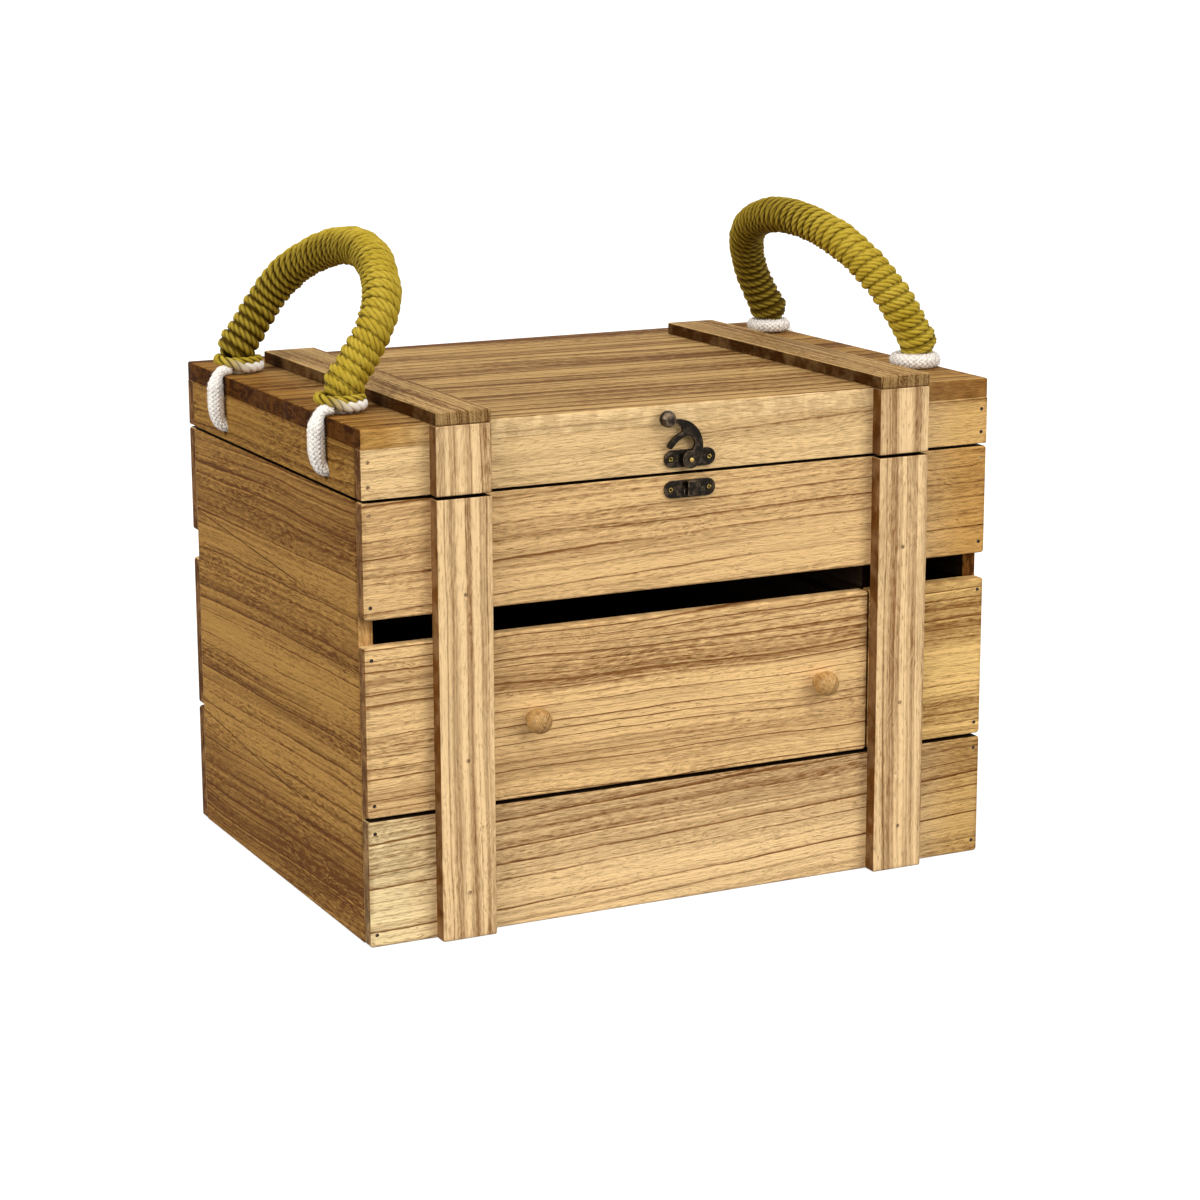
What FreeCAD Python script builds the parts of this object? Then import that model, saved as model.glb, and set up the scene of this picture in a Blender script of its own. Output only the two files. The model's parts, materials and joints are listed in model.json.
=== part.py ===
"""Slatted wooden chest: hinged lid with a swing-hook clasp, a drawer in the front and two rope handles.

Millimetres. X runs to the right, Y to the back and Z up. The origin is on the underside of the
chest, in the middle of its boards, so the slats' front face lies at Y = -case_depth / 2.
"""
import FreeCAD, Part
import math
import os
from FreeCAD import Vector

# Case boards
case_width = 400.0
case_depth = 286.0            # over the front and back slats
slat_thickness = 9.0
side_thickness = 9.0
lower_slat_height = 72.8
slat_seam = 2.0               # between the lower and the middle slats
middle_slat_height = 96.7
vent_gap = 15.4               # open strip between the middle and the upper slats
upper_slat_height = 65.1
rear_slat_drop = 2.4          # middle back slat below the top of the drawer front
sheet_thickness = 6.0         # bottom, drawer deck and shelf
edge_ease = 1.0               # rounding on the edges of every planed board
corner_round = 2.0            # rounding on a board's corners, through its thickness

# Battens on the front, and on the lid above them
batten_thickness = 9.5
batten_width = 33.2
left_batten_inset = 56.6      # centre lines, from the ends of the case
right_batten_inset = 63.1
lid_batten_thickness = 7.5
batten_corner_round = 1.2

# Inside the case
deck_clearance = 0.3          # drawer above its deck
guide_thickness = 8.0
shelf_rise = 0.5              # shelf above the lower edge of the upper slats
cleat_size = 15.0

# Drawer
drawer_side_clearance = 0.8
drawer_rear_clearance = 3.0
drawer_board = 8.0
drawer_wall_drop = 6.0        # walls below the top of the drawer front
drawer_sheet = 4.0
drawer_sheet_rise = 5.0       # sheet above the lower edge of the drawer
drawer_groove = 3.0
groove_clearance = 0.1

# Knobs on the drawer front
left_knob_inset = 27.5        # from the battens at both sides of the drawer
right_knob_inset = 33.7
knob_drop = 50.7              # below the upper edge of the drawer front
knob_ball_radius = 7.3
knob_ball_stand = 9.0         # ball centre in front of the board
knob_neck_radius = 3.4
knob_screw_radius = 1.5
knob_screw_reach = 7.0        # into the knob
knob_screw_head_radius = 3.2
knob_screw_head = 1.6

# Lid
lid_seam = 1.5
lid_height = 39.0
lid_board = 11.3
lid_corner_round = 1.2
joint_ease = 0.4              # rounding where the lid's top board and its aprons meet
lid_batten_back_inset = 28.0  # top battens end in front of the lid's rear edge

# Nails
nail_radius = 1.1
nail_hole_clearance = 0.06
nail_sink = 0.3
nail_length = 18.0
nail_inset = 7.0              # from the upper and lower edges of a front slat and the aprons
rear_nail_inset = 10.0        # the same on a back slat, clear of the cleat nails
nail_end_inset = 4.0          # from the end of a slat
batten_nail_length = 16.0
lower_batten_nail = 27.0      # heights of the nails in the front battens
middle_batten_nail = 103.5
upper_batten_nail = 198.0
cleat_nail_inset = 3.5        # from the rear edge of the side panel

# Clasp
clasp_x = -0.5                # centre of both plates
clasp_plate = 1.6
clasp_length = 32.6
clasp_height = 10.2
clasp_screw_reach = 12.3      # screws from the centre of the plate
clasp_screw_radius = 1.1
clasp_screw_length = 9.0
clasp_head_radius = 2.1
clasp_head_recess = 0.9
pin_x = -1.5
pin_rise = 7.2                # pin above the lower edge of the lid
plate_rise = 0.5              # plate centre above the pin
pin_radius = 1.4
pin_clearance = 0.05
pin_head_radius = 2.9
pin_head = 1.3
pin_length = 9.0
pin_slot_width = 0.8
pin_slot_depth = 0.6
hook_lift = 0.6               # hook in front of the plates
hook_thickness = 2.8
hook_root_radius = 5.2
shoulder_radius = 9.0         # outer side of the arm, just above the root
waist_radius = 8.4            # inner side of the arm, just above the root
prong_radius = 15.4
prong_half_width = 1.6
prong_start = 78.0            # degrees about the pin, from +X towards +Z
prong_end = 147.0
arm_width = 3.7               # outside the prong
neck_width = 1.2              # arm where it meets the thumb ball
thumb_radius = 4.8
thumb_x = -15.3               # from the pin
thumb_z = 24.4
thumb_gap = 0.6               # thumb ball clear of the boards
catch_drop = 1.6              # catch plate centre below the closed prong's lowest line
bridge_left = -2.5            # sides of the bridge, from the pin
bridge_right = 3.5
bridge_wall = 1.1
bridge_round = 0.7
bridge_clearance = 0.35
bridge_foot = 3.1             # foot of the bridge below its tunnel

# Butt hinges on the back
hinge_inset = 88.0            # hinge centres from the ends of the case
hinge_width = 38.0
hinge_leaf_height = 17.0
hinge_leaf = 1.2
knuckle_radius = 2.4
knuckle_gap = 0.3
hinge_pin_radius = 1.2
hinge_pin_clearance = 0.05
hinge_pin_head = 0.8
hinge_screw_reach = 11.0
hinge_screw_radius = 1.2
hinge_screw_length = 7.5
hinge_screw_head_radius = 2.4
hinge_screw_head = 0.9

# Rope handles
rope_radius = 4.8             # core and ring
tail_radius = 4.5             # from the ring down to the knot, drawn tighter
rope_hole_clearance = 0.3
rope_hole_rise = 8.0          # above the lower edge of the lid
rope_slot_drop = 6.2          # tip of the slot below the middle of the rope hole
rope_stand = 1.3              # rope off the face of the lid's end
rope_lift = 0.3               # rope above the lid
rope_bend = 6.3               # over the upper edge of the lid
collar_radius = 10.0          # centre line of the ring round each foot
knot_radius = 8.0
grip_radius = 11.3
grip_bore_clearance = 0.2
grip_seat_clearance = 0.4
handles = {                   # degrees from upright for the lean, all else in millimetres
    "left": {"side": -1, "end_inset": 13.5, "front_inset": 61.7, "back_inset": 57.4,
             "lean": 34.7, "leg": 23.5, "corner": 40.0, "rise": 77.0},
    "right": {"side": 1, "end_inset": 15.0, "front_inset": 57.5, "back_inset": 47.8,
              "lean": 30.0, "leg": 9.0, "corner": 63.3, "rise": 78.0},
}

# Levels and faces that follow from the sizes above
end_face = case_width / 2
front_face = -case_depth / 2
back_face = case_depth / 2
inner_end = end_face - side_thickness
inner_front = front_face + slat_thickness
inner_back = back_face - slat_thickness
middle_slat_low = lower_slat_height + slat_seam
middle_slat_high = middle_slat_low + middle_slat_height
upper_slat_low = middle_slat_high + vent_gap
case_height = upper_slat_low + upper_slat_height
lid_low = case_height + lid_seam
lid_high = lid_low + lid_height
lid_board_low = lid_high - lid_board
batten_face = front_face - batten_thickness
left_batten_x = left_batten_inset - end_face
right_batten_x = end_face - right_batten_inset
left_batten = (left_batten_x - batten_width / 2, left_batten_x + batten_width / 2)
right_batten = (right_batten_x - batten_width / 2, right_batten_x + batten_width / 2)
bay = (left_batten[1], right_batten[0])
deck_high = middle_slat_low - deck_clearance
deck_low = deck_high - sheet_thickness
shelf_low = upper_slat_low + shelf_rise
RIGHT = Vector(1, 0, 0)
BACK = Vector(0, 1, 0)
FRONT = Vector(0, -1, 0)
UP = Vector(0, 0, 1)
parts = {}


def block(x, y, z):
    """A square-edged box between two values on each axis."""
    return Part.makeBox(x[1] - x[0], y[1] - y[0], z[1] - z[0], Vector(x[0], y[0], z[0]))


def eased(solid):
    return solid.makeFillet(edge_ease, solid.Edges)


def board(x, y, z, corner=corner_round, ease=edge_ease):
    """A planed board: a box with its corners rounded through its thickness and every edge eased."""
    solid = block(x, y, z)
    thickness = min(x[1] - x[0], y[1] - y[0], z[1] - z[0])
    corners = [e for e in solid.Edges if e.Length < thickness + edge_ease]
    solid = solid.makeFillet(corner, corners)
    rims = [e for e in solid.Edges if abs(e.Length - thickness) > edge_ease / 2]
    return solid.makeFillet(ease, rims)


def mirrored(span):
    """The same stretch of X on the other side of the middle."""
    return (-span[1], -span[0])


def rod(start, direction, radius, length):
    return Part.makeCylinder(radius, length, start, direction)


def drill(names, holes):
    """Cuts the holes out of each named board that they reach."""
    for name in names:
        reached = [h for h in holes if parts[name].BoundBox.intersect(h.BoundBox)]
        if reached:
            parts[name] = parts[name].cut(reached)


def nailed(names, points, direction, length):
    """Nails driven from points on a face; the boards get their holes."""
    holes = []
    nails = []
    for point in points:
        radius = nail_radius + nail_hole_clearance
        holes.append(rod(point, direction, radius, length + nail_hole_clearance))
        nails.append(rod(point + direction * nail_sink, direction, nail_radius, length - nail_sink))
    drill(names, holes)
    return nails


def slat_nails(face, low, high, inset=nail_inset):
    """Points at both ends of a slat, near its upper and lower edges."""
    ends = (-end_face + nail_end_inset, end_face - nail_end_inset)
    levels = (low + inset, high - inset)
    return [Vector(x, face, z) for x in ends for z in levels]


def case_boards():
    full = (-end_face, end_face)
    depth = (inner_front, inner_back)
    height = (0, case_height)
    levels = {
        "lower": (0, lower_slat_height),
        "middle": (middle_slat_low, middle_slat_high),
        "upper": (upper_slat_low, case_height),
    }
    parts["side_panel_left"] = board((-end_face, -inner_end), depth, height)
    parts["side_panel_right"] = board((inner_end, end_face), depth, height)
    rear_levels = dict(levels, middle=(middle_slat_low, middle_slat_high - rear_slat_drop))
    for level, z in rear_levels.items():
        parts["back_slat_" + level] = board(full, (inner_back, back_face), z)
    for level in ("lower", "upper"):
        parts["front_slat_" + level] = board(full, (front_face, inner_front), levels[level])
    stub = (front_face, inner_front)
    parts["front_stub_left"] = board((-end_face, bay[0]), stub, levels["middle"])
    parts["front_stub_right"] = board((bay[1], end_face), stub, levels["middle"])
    batten = (batten_face, front_face)
    parts["front_batten_left"] = board(left_batten, batten, height, batten_corner_round)
    parts["front_batten_right"] = board(right_batten, batten, height, batten_corner_round)
    return levels, rear_levels


def case_inside():
    inside = (-inner_end, inner_end)
    depth = (inner_front, inner_back)
    shelf = (shelf_low, shelf_low + sheet_thickness)
    guide = (deck_high, shelf_low)
    cleat = (deck_low - cleat_size, deck_low)
    parts["bottom_panel"] = block(inside, depth, (0, sheet_thickness))
    parts["drawer_deck"] = block(inside, depth, (deck_low, deck_high))
    parts["shelf_panel"] = block(inside, depth, shelf)
    parts["drawer_guide_left"] = board((bay[0] - guide_thickness, bay[0]), depth, guide)
    parts["drawer_guide_right"] = board((bay[1], bay[1] + guide_thickness), depth, guide)
    left_cleat = (-inner_end, -inner_end + cleat_size)
    parts["deck_cleat_left"] = eased(block(left_cleat, depth, cleat))
    parts["deck_cleat_right"] = eased(block(mirrored(left_cleat), depth, cleat))


def case_nails(levels, rear_levels):
    sides = ["side_panel_left", "side_panel_right"]
    slats = [name for name in parts if "slat" in name or "stub" in name]
    battens = ["front_batten_left", "front_batten_right"]
    nails = []
    for z in levels.values():
        nails += nailed(slats + sides, slat_nails(front_face, *z), BACK, nail_length)
    for z in rear_levels.values():
        points = slat_nails(back_face, *z, rear_nail_inset)
        nails += nailed(slats + sides, points, FRONT, nail_length)
    heights = (lower_batten_nail, middle_batten_nail, upper_batten_nail)
    points = [Vector(x, batten_face, z) for x in (left_batten_x, right_batten_x) for z in heights]
    nails += nailed(battens + slats, points, BACK, batten_nail_length)
    cleats = ["deck_cleat_left", "deck_cleat_right"]
    for side in (-1, 1):
        point = Vector(side * end_face, inner_back - cleat_nail_inset, deck_low - cleat_size / 6)
        nails += nailed(sides + cleats, [point], Vector(-side, 0, 0), nail_length)
    parts["case_nails"] = Part.makeCompound(nails)


def drawer():
    front = (front_face, inner_front)
    width = (bay[0] + drawer_side_clearance, bay[1] - drawer_side_clearance)
    rear = inner_back - drawer_rear_clearance
    wall = (middle_slat_low, middle_slat_high - drawer_wall_drop)
    inner = (width[0] + drawer_board, width[1] - drawer_board)
    sides = (inner_front, rear)
    parts["drawer_front"] = board(width, front, (middle_slat_low, middle_slat_high))
    parts["drawer_side_left"] = board((width[0], inner[0]), sides, wall)
    parts["drawer_side_right"] = board((inner[1], width[1]), sides, wall)
    parts["drawer_back"] = board(inner, (rear - drawer_board, rear), wall)
    low = middle_slat_low + drawer_sheet_rise
    slot = drawer_groove + groove_clearance
    groove = block((inner[0] - slot, inner[1] + slot), (inner_front, rear - drawer_board),
                   (low - groove_clearance, low + drawer_sheet + groove_clearance))
    for name in ("drawer_side_left", "drawer_side_right"):
        parts[name] = parts[name].cut(groove)
    sheet_x = (inner[0] - drawer_groove, inner[1] + drawer_groove)
    parts["drawer_bottom"] = block(sheet_x, (inner_front, rear - drawer_board),
                                   (low, low + drawer_sheet))


def knob(x, z):
    """A turned knob on the drawer front: neck and ball about one axis, bored for its screw."""
    centre = Vector(x, front_face - knob_ball_stand, z)
    neck = rod(Vector(x, front_face, z), FRONT, knob_neck_radius, knob_ball_stand)
    solid = neck.fuse(Part.makeSphere(knob_ball_radius, centre)).removeSplitter()
    pilot = rod(Vector(x, front_face, z), FRONT, knob_screw_radius, knob_screw_reach)
    return solid.cut(pilot)


def knobs():
    z = middle_slat_high - knob_drop
    screws = []
    for name, x in (("knob_left", bay[0] + left_knob_inset), ("knob_right", bay[1] - right_knob_inset)):
        parts[name] = knob(x, z)
        shank_length = slat_thickness + knob_screw_reach
        shank = rod(Vector(x, inner_front, z), FRONT, knob_screw_radius, shank_length)
        head = rod(Vector(x, inner_front, z), BACK, knob_screw_head_radius, knob_screw_head)
        drill(["drawer_front"], [shank])
        screws.append(shank.fuse(head).removeSplitter())
    parts["knob_screws"] = Part.makeCompound(screws)


def lid_top():
    """The lid's top board, eased on its upper rim and nearly sharp where the aprons meet it."""
    solid = block((-end_face, end_face), (front_face, back_face), (lid_board_low, lid_high))
    corners = [e for e in solid.Edges if e.Length < lid_board + edge_ease]
    solid = solid.makeFillet(lid_corner_round, corners)
    for level, ease in ((lid_high, edge_ease), (lid_board_low, joint_ease)):
        rim = [e for e in solid.Edges if abs(e.CenterOfMass.z - level) < joint_ease / 4]
        solid = solid.makeFillet(ease, rim)
    return solid


def lid_boards():
    full = (-end_face, end_face)
    apron = (lid_low, lid_board_low)
    ends = (inner_front, inner_back)
    over = (lid_high, lid_high + lid_batten_thickness)
    strip = (batten_face, front_face)
    along = (batten_face, back_face - lid_batten_back_inset)
    aprons = {
        "lid_apron_front": (full, (front_face, inner_front)),
        "lid_apron_back": (full, (inner_back, back_face)),
        "lid_apron_left": ((-end_face, -inner_end), ends),
        "lid_apron_right": ((inner_end, end_face), ends),
    }
    parts["lid_top_board"] = lid_top()
    for name, (x, y) in aprons.items():
        parts[name] = board(x, y, apron, 2 * joint_ease, joint_ease)
    for name, x in (("left", left_batten), ("right", right_batten)):
        parts["lid_batten_top_" + name] = board(x, along, over, batten_corner_round)
        parts["lid_batten_front_" + name] = board(x, strip, (lid_low, lid_high),
                                                  batten_corner_round)
    nails = nailed(aprons, slat_nails(front_face, *apron), BACK, nail_length)
    nails += nailed(aprons, slat_nails(back_face, *apron), FRONT, nail_length)
    parts["lid_nails"] = Part.makeCompound(nails)


def stadium(x, z, length, height, start, thickness):
    """A round-ended plate standing on the plane y = start and facing the front."""
    radius = height / 2
    reach = length / 2 - radius
    middle = block((x - reach, x + reach), (start - thickness, start), (z - radius, z + radius))
    ends = [rod(Vector(x + side * reach, start, z), FRONT, radius, thickness) for side in (-1, 1)]
    return middle.fuse(ends).removeSplitter()


def clasp_screws(z, carrier, plate):
    """Two flush screws through a clasp plate, each with a small round recess in its head."""
    screws = []
    face = front_face - clasp_plate
    for side in (-1, 1):
        x = clasp_x + side * clasp_screw_reach
        shank = rod(Vector(x, face, z), BACK, clasp_screw_radius, clasp_screw_length)
        head = rod(Vector(x, face, z), BACK, clasp_head_radius, clasp_plate)
        screw = shank.fuse(head).removeSplitter()
        drill([carrier, plate], [screw])
        recess = rod(Vector(x, face, z), BACK, clasp_head_recess, clasp_plate / 2)
        screws.append(screw.cut(recess))
    return Part.makeCompound(screws)


def from_pin(x, z):
    """A point of the hook's outline, from its pin, in the plane of the hook's back."""
    return Vector(pin_x + x, front_face - clasp_plate - hook_lift, lid_low + pin_rise + z)


def on_prong(radius, angle):
    turn = math.radians(angle)
    return from_pin(radius * math.cos(turn), radius * math.sin(turn))


def arc(start, middle, end):
    return Part.Arc(start, middle, end).toShape()


def line(start, end):
    return Part.LineSegment(start, end).toShape()


def prong_face():
    """A bar bent round the pin, with a round tip."""
    inner = prong_radius - prong_half_width
    outer = prong_radius + prong_half_width
    mid = (prong_start + prong_end) / 2
    tip_turn = math.degrees(prong_half_width / prong_radius)
    edges = [
        arc(on_prong(outer, prong_start), on_prong(outer, mid), on_prong(outer, prong_end)),
        arc(on_prong(outer, prong_end), on_prong(prong_radius, prong_end + tip_turn),
            on_prong(inner, prong_end)),
        arc(on_prong(inner, prong_end), on_prong(inner, mid), on_prong(inner, prong_start)),
        line(on_prong(inner, prong_start), on_prong(outer, prong_start)),
    ]
    return Part.Face(Part.Wire(edges))


def arm_face():
    """The arm: out of the root, round the outside of the prong and on to the thumb ball."""
    outer = prong_radius + prong_half_width
    inner = prong_radius - prong_half_width
    neck_x = thumb_x + thumb_radius / 2
    neck_z = thumb_z - thumb_radius / 4
    root = on_prong(hook_root_radius, -11.0)
    shoulder = on_prong(shoulder_radius, 33.7)
    neck_out = from_pin(neck_x, neck_z)
    neck_in = from_pin(neck_x, neck_z - neck_width)
    crotch_out = on_prong(outer + arm_width * 0.8, 106.5)
    crotch_in = on_prong(outer, 106.8)
    fork = on_prong(inner, 95.3)
    waist = on_prong(waist_radius, 72.6)
    heel = on_prong(hook_root_radius, 76.5)
    belly = on_prong((inner + waist_radius) / 2 + neck_width / 2, 80.8)
    throat = on_prong(outer + arm_width * 1.6, 112.8)
    edges = [
        line(root, shoulder),
        arc(shoulder, on_prong(outer + arm_width, 87.2), neck_out),
        line(neck_out, neck_in),
        arc(neck_in, throat, crotch_out),
        line(crotch_out, crotch_in),
        line(crotch_in, fork),
        arc(fork, belly, waist),
        line(waist, heel),
        line(heel, from_pin(0, 0)),
        line(from_pin(0, 0), root),
    ]
    return Part.Face(Part.Wire(edges))


def hook():
    """The swinging hook, shown open, bored for its pin."""
    root = Part.Face(Part.Wire(Part.makeCircle(hook_root_radius, from_pin(0, 0), FRONT)))
    outline = prong_face().fuse([arm_face(), root]).removeSplitter()
    body = outline.Faces[0].extrude(FRONT * hook_thickness)
    centre = from_pin(thumb_x, thumb_z)
    centre.y = front_face - thumb_gap - thumb_radius
    body = body.fuse(Part.makeSphere(thumb_radius, centre)).removeSplitter()
    bore = rod(from_pin(0, 0), FRONT, pin_radius + pin_clearance, hook_thickness)
    return body.cut(bore)


def latch():
    pin_z = lid_low + pin_rise
    plate_z = pin_z + plate_rise
    parts["latch_plate"] = stadium(clasp_x, plate_z, clasp_length, clasp_height, front_face,
                                   clasp_plate)
    parts["latch_screws"] = clasp_screws(plate_z, "lid_apron_front", "latch_plate")
    parts["latch_hook"] = hook()
    head_back = front_face - clasp_plate - hook_lift - hook_thickness - bridge_clearance
    shank = rod(Vector(pin_x, head_back, pin_z), BACK, pin_radius, front_face - head_back + pin_length)
    drill(["lid_apron_front", "latch_plate"], [shank])
    boss_radius = (pin_radius + hook_root_radius) / 2
    boss_length = hook_lift - bridge_clearance / 2
    boss = rod(Vector(pin_x, front_face - clasp_plate, pin_z), FRONT, boss_radius, boss_length)
    head = rod(Vector(pin_x, head_back, pin_z), FRONT, pin_head_radius, pin_head)
    slot = block((pin_x - pin_head_radius, pin_x + pin_head_radius),
                 (head_back - pin_head, head_back - pin_head + pin_slot_depth),
                 (pin_z - pin_slot_width / 2, pin_z + pin_slot_width / 2))
    parts["latch_pivot"] = shank.fuse([boss, head]).removeSplitter().cut(slot)


def catch():
    pin_z = lid_low + pin_rise
    centre = pin_z - prong_radius - catch_drop
    plate = stadium(clasp_x, centre, clasp_length, clasp_height, front_face, clasp_plate)
    sides = (pin_x + bridge_left, pin_x + bridge_right)
    inner = prong_radius - prong_half_width
    reach = max(abs(bridge_left), abs(bridge_right))
    tunnel_high = pin_z - math.sqrt(inner ** 2 - reach ** 2) + bridge_clearance
    tunnel_low = pin_z - prong_radius - prong_half_width - bridge_clearance
    face = front_face - clasp_plate
    tunnel_face = face - hook_lift - hook_thickness - bridge_clearance
    strap = block(sides, (tunnel_face - bridge_wall, face),
                  (tunnel_low - bridge_foot, tunnel_high + bridge_wall))
    crown = [e for e in strap.Edges if e.BoundBox.YMax < tunnel_face]
    strap = strap.makeFillet(bridge_round, crown)
    tunnel = block(sides, (tunnel_face, face), (tunnel_low, tunnel_high))
    parts["catch_plate"] = plate.fuse(strap).removeSplitter().cut(tunnel)
    parts["catch_screws"] = clasp_screws(centre, "front_slat_upper", "catch_plate")


def knuckle(x, axis):
    """One knuckle of a hinge between two values of X, solid."""
    return rod(Vector(x[0], axis.y, axis.z), RIGHT, knuckle_radius, x[1] - x[0])


def butt_leaf(x, axis, tabs, up):
    """A leaf with its knuckles: up is 1 for the lid's leaf and -1 for the case's."""
    near = axis.z + up * (knuckle_radius + knuckle_gap)
    far = axis.z + up * (knuckle_radius + knuckle_gap + hinge_leaf_height)
    plane = (back_face, back_face + hinge_leaf)
    solids = [block((x - hinge_width / 2, x + hinge_width / 2), plane, sorted((near, far)))]
    for tab in tabs:
        solids.append(block(tab, plane, sorted((axis.z, near))))
        solids.append(knuckle(tab, axis))
    leaf = solids[0].fuse(solids[1:]).removeSplitter()
    radius = hinge_pin_radius + hinge_pin_clearance
    bore = rod(Vector(x - hinge_width, axis.y, axis.z), RIGHT, radius, 2 * hinge_width)
    return leaf.cut(bore)


def hinge_screws(x, z, carriers):
    """Two screws through one leaf, with low round heads."""
    screws = []
    face = back_face + hinge_leaf
    for side in (-1, 1):
        at = x + side * hinge_screw_reach
        shank = rod(Vector(at, face, z), FRONT, hinge_screw_radius, hinge_screw_length)
        head = rod(Vector(at, face, z), BACK, hinge_screw_head_radius, hinge_screw_head)
        drill(carriers, [shank])
        screws.append(shank.fuse(head).removeSplitter())
    return screws


def hinges():
    axis = Vector(0, back_face + knuckle_radius, (case_height + lid_low) / 2)
    case_screws = []
    lid_screws = []
    middle = knuckle_radius + knuckle_gap + hinge_leaf_height / 2
    for name, side in (("left", -1), ("right", 1)):
        x = side * (end_face - hinge_inset)
        third = hinge_width / 6
        outer = [(x - hinge_width / 2, x - third - knuckle_gap / 2),
                 (x + third + knuckle_gap / 2, x + hinge_width / 2)]
        inner = [(x - third + knuckle_gap / 2, x + third - knuckle_gap / 2)]
        parts["hinge_leaf_case_" + name] = butt_leaf(x, axis, outer, -1)
        parts["hinge_leaf_lid_" + name] = butt_leaf(x, axis, inner, 1)
        start = Vector(x - hinge_width / 2, axis.y, axis.z)
        pin = rod(start, RIGHT, hinge_pin_radius, hinge_width)
        heads = [rod(start, -RIGHT, knuckle_radius, hinge_pin_head),
                 rod(start + RIGHT * hinge_width, RIGHT, knuckle_radius, hinge_pin_head)]
        parts["hinge_pin_" + name] = pin.fuse(heads).removeSplitter()
        case_screws += hinge_screws(x, axis.z - middle,
                                    ["hinge_leaf_case_" + name, "back_slat_upper"])
        lid_screws += hinge_screws(x, axis.z + middle,
                                   ["hinge_leaf_lid_" + name, "lid_apron_back"])
    parts["hinge_screws_case"] = Part.makeCompound(case_screws)
    parts["hinge_screws_lid"] = Part.makeCompound(lid_screws)


def swept(edges, radius):
    """A round tube along joined edges."""
    path = Part.Wire(edges)
    start = path.OrderedEdges[0].valueAt(path.OrderedEdges[0].FirstParameter)
    ahead = path.OrderedEdges[0].tangentAt(path.OrderedEdges[0].FirstParameter)
    ring = Part.Wire(Part.makeCircle(radius, start, ahead))
    return path.makePipeShell([ring], True, True)


def rope_hole(start, side):
    """A round hole with a slot that narrows to a point below it."""
    radius = tail_radius + rope_hole_clearance
    length = side_thickness + 2
    tip = start - UP * rope_slot_drop
    half = radius * math.sqrt(1 - (radius / rope_slot_drop) ** 2)
    drop = radius ** 2 / rope_slot_drop
    corners = [start + Vector(0, -half, -drop), start + Vector(0, half, -drop), tip]
    slot = Part.Face(Part.makePolygon(corners + corners[:1])).extrude(Vector(-side * length, 0, 0))
    return rod(start, Vector(-side, 0, 0), radius, length).fuse(slot)


def rope_end(side, end_inset, y):
    """One end of the rope: knot, through the lid's end, up its face and round the handle's foot."""
    level = lid_low + rope_hole_rise
    run = lid_high + rope_lift + rope_radius
    stand = tail_radius + rope_stand
    tail_y = y + side * collar_radius
    mid = math.sqrt(0.5)

    def at(out, z):
        return Vector(side * (end_face + out), tail_y, z)

    knot = at(-side_thickness - knot_radius, level)
    edges = [
        line(knot, at(0, level)),
        arc(at(0, level), at(stand * mid, level + stand * (1 - mid)), at(stand, level + stand)),
        line(at(stand, level + stand), at(stand, run - rope_bend)),
        arc(at(stand, run - rope_bend), at(stand - rope_bend * (1 - mid), run - rope_bend * (1 - mid)),
            at(stand - rope_bend, run)),
        line(at(stand - rope_bend, run), at(-end_inset, run)),
    ]
    centre = Vector(side * (end_face - end_inset), y, run)
    ring = Part.makeTorus(collar_radius, rope_radius, centre, UP)
    tube = swept(edges, tail_radius)
    hole = rope_hole(at(1, level), side)
    solid = tube.fuse([ring, Part.makeSphere(knot_radius, knot)]).removeSplitter()
    return solid, hole


def handle_feet(handle):
    """Places of the front and the back foot along Y."""
    return front_face + handle["front_inset"], back_face - handle["back_inset"]


def handle_pivot(handle):
    """The middle of the line through the centres of both round ends, on which the handle tips."""
    reach = grip_radius + rope_radius + grip_seat_clearance
    rise = math.sqrt(reach ** 2 - collar_radius ** 2)
    x = handle["side"] * (end_face - handle["end_inset"])
    middle = sum(handle_feet(handle)) / 2
    return Vector(x, middle, lid_high + rope_lift + rope_radius + rise)


def handle_edges(handle, tail):
    """Centre line of a handle, leaning: two legs, two corners and a flat crown, as tangent arcs."""
    pivot = handle_pivot(handle)
    lean = math.radians(handle["lean"])
    front, back = handle_feet(handle)
    half = (back - front) / 2
    leg = handle["leg"]
    corner = handle["corner"]
    rise = handle["rise"]
    climb = rise - leg
    crown = ((half - corner) ** 2 + climb ** 2 - corner ** 2) / (2 * (climb - corner))

    def at(y, z):
        return pivot + Vector(-handle["side"] * z * math.sin(lean), y, z * math.cos(lean))

    centre = rise - crown
    turn = math.atan2(half - corner, leg - centre)
    joint = (crown * math.sin(turn), centre + crown * math.cos(turn))
    half_turn = (math.pi / 2 - turn) / 2
    bend = (half - corner + corner * math.cos(half_turn), leg + corner * math.sin(half_turn))
    return [
        line(at(-half, -tail), at(-half, leg)),
        arc(at(-half, leg), at(-bend[0], bend[1]), at(-joint[0], joint[1])),
        arc(at(-joint[0], joint[1]), at(0, rise), at(*joint)),
        arc(at(*joint), at(*bend), at(half, leg)),
        line(at(half, leg), at(half, -tail)),
    ]


def rope_handles():
    for name, handle in handles.items():
        holes = []
        feet = handle_feet(handle)
        for foot, y in zip(("front", "back"), feet):
            solid, hole = rope_end(handle["side"], handle["end_inset"], y)
            parts["rope_end_%s_%s" % (name, foot)] = solid
            holes.append(hole)
        drill(["lid_apron_" + name], holes)
        pivot = handle_pivot(handle)
        ends = [Part.makeSphere(grip_radius, Vector(pivot.x, y, pivot.z)) for y in feet]
        wrap = swept(handle_edges(handle, 0), grip_radius).fuse(ends).removeSplitter()
        bore = swept(handle_edges(handle, grip_radius + 1), rope_radius + grip_bore_clearance)
        parts["grip_" + name] = wrap.cut(bore)
        short = math.sqrt(grip_radius ** 2 - rope_radius ** 2) - grip_bore_clearance
        parts["rope_core_" + name] = swept(handle_edges(handle, short), rope_radius)


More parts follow.
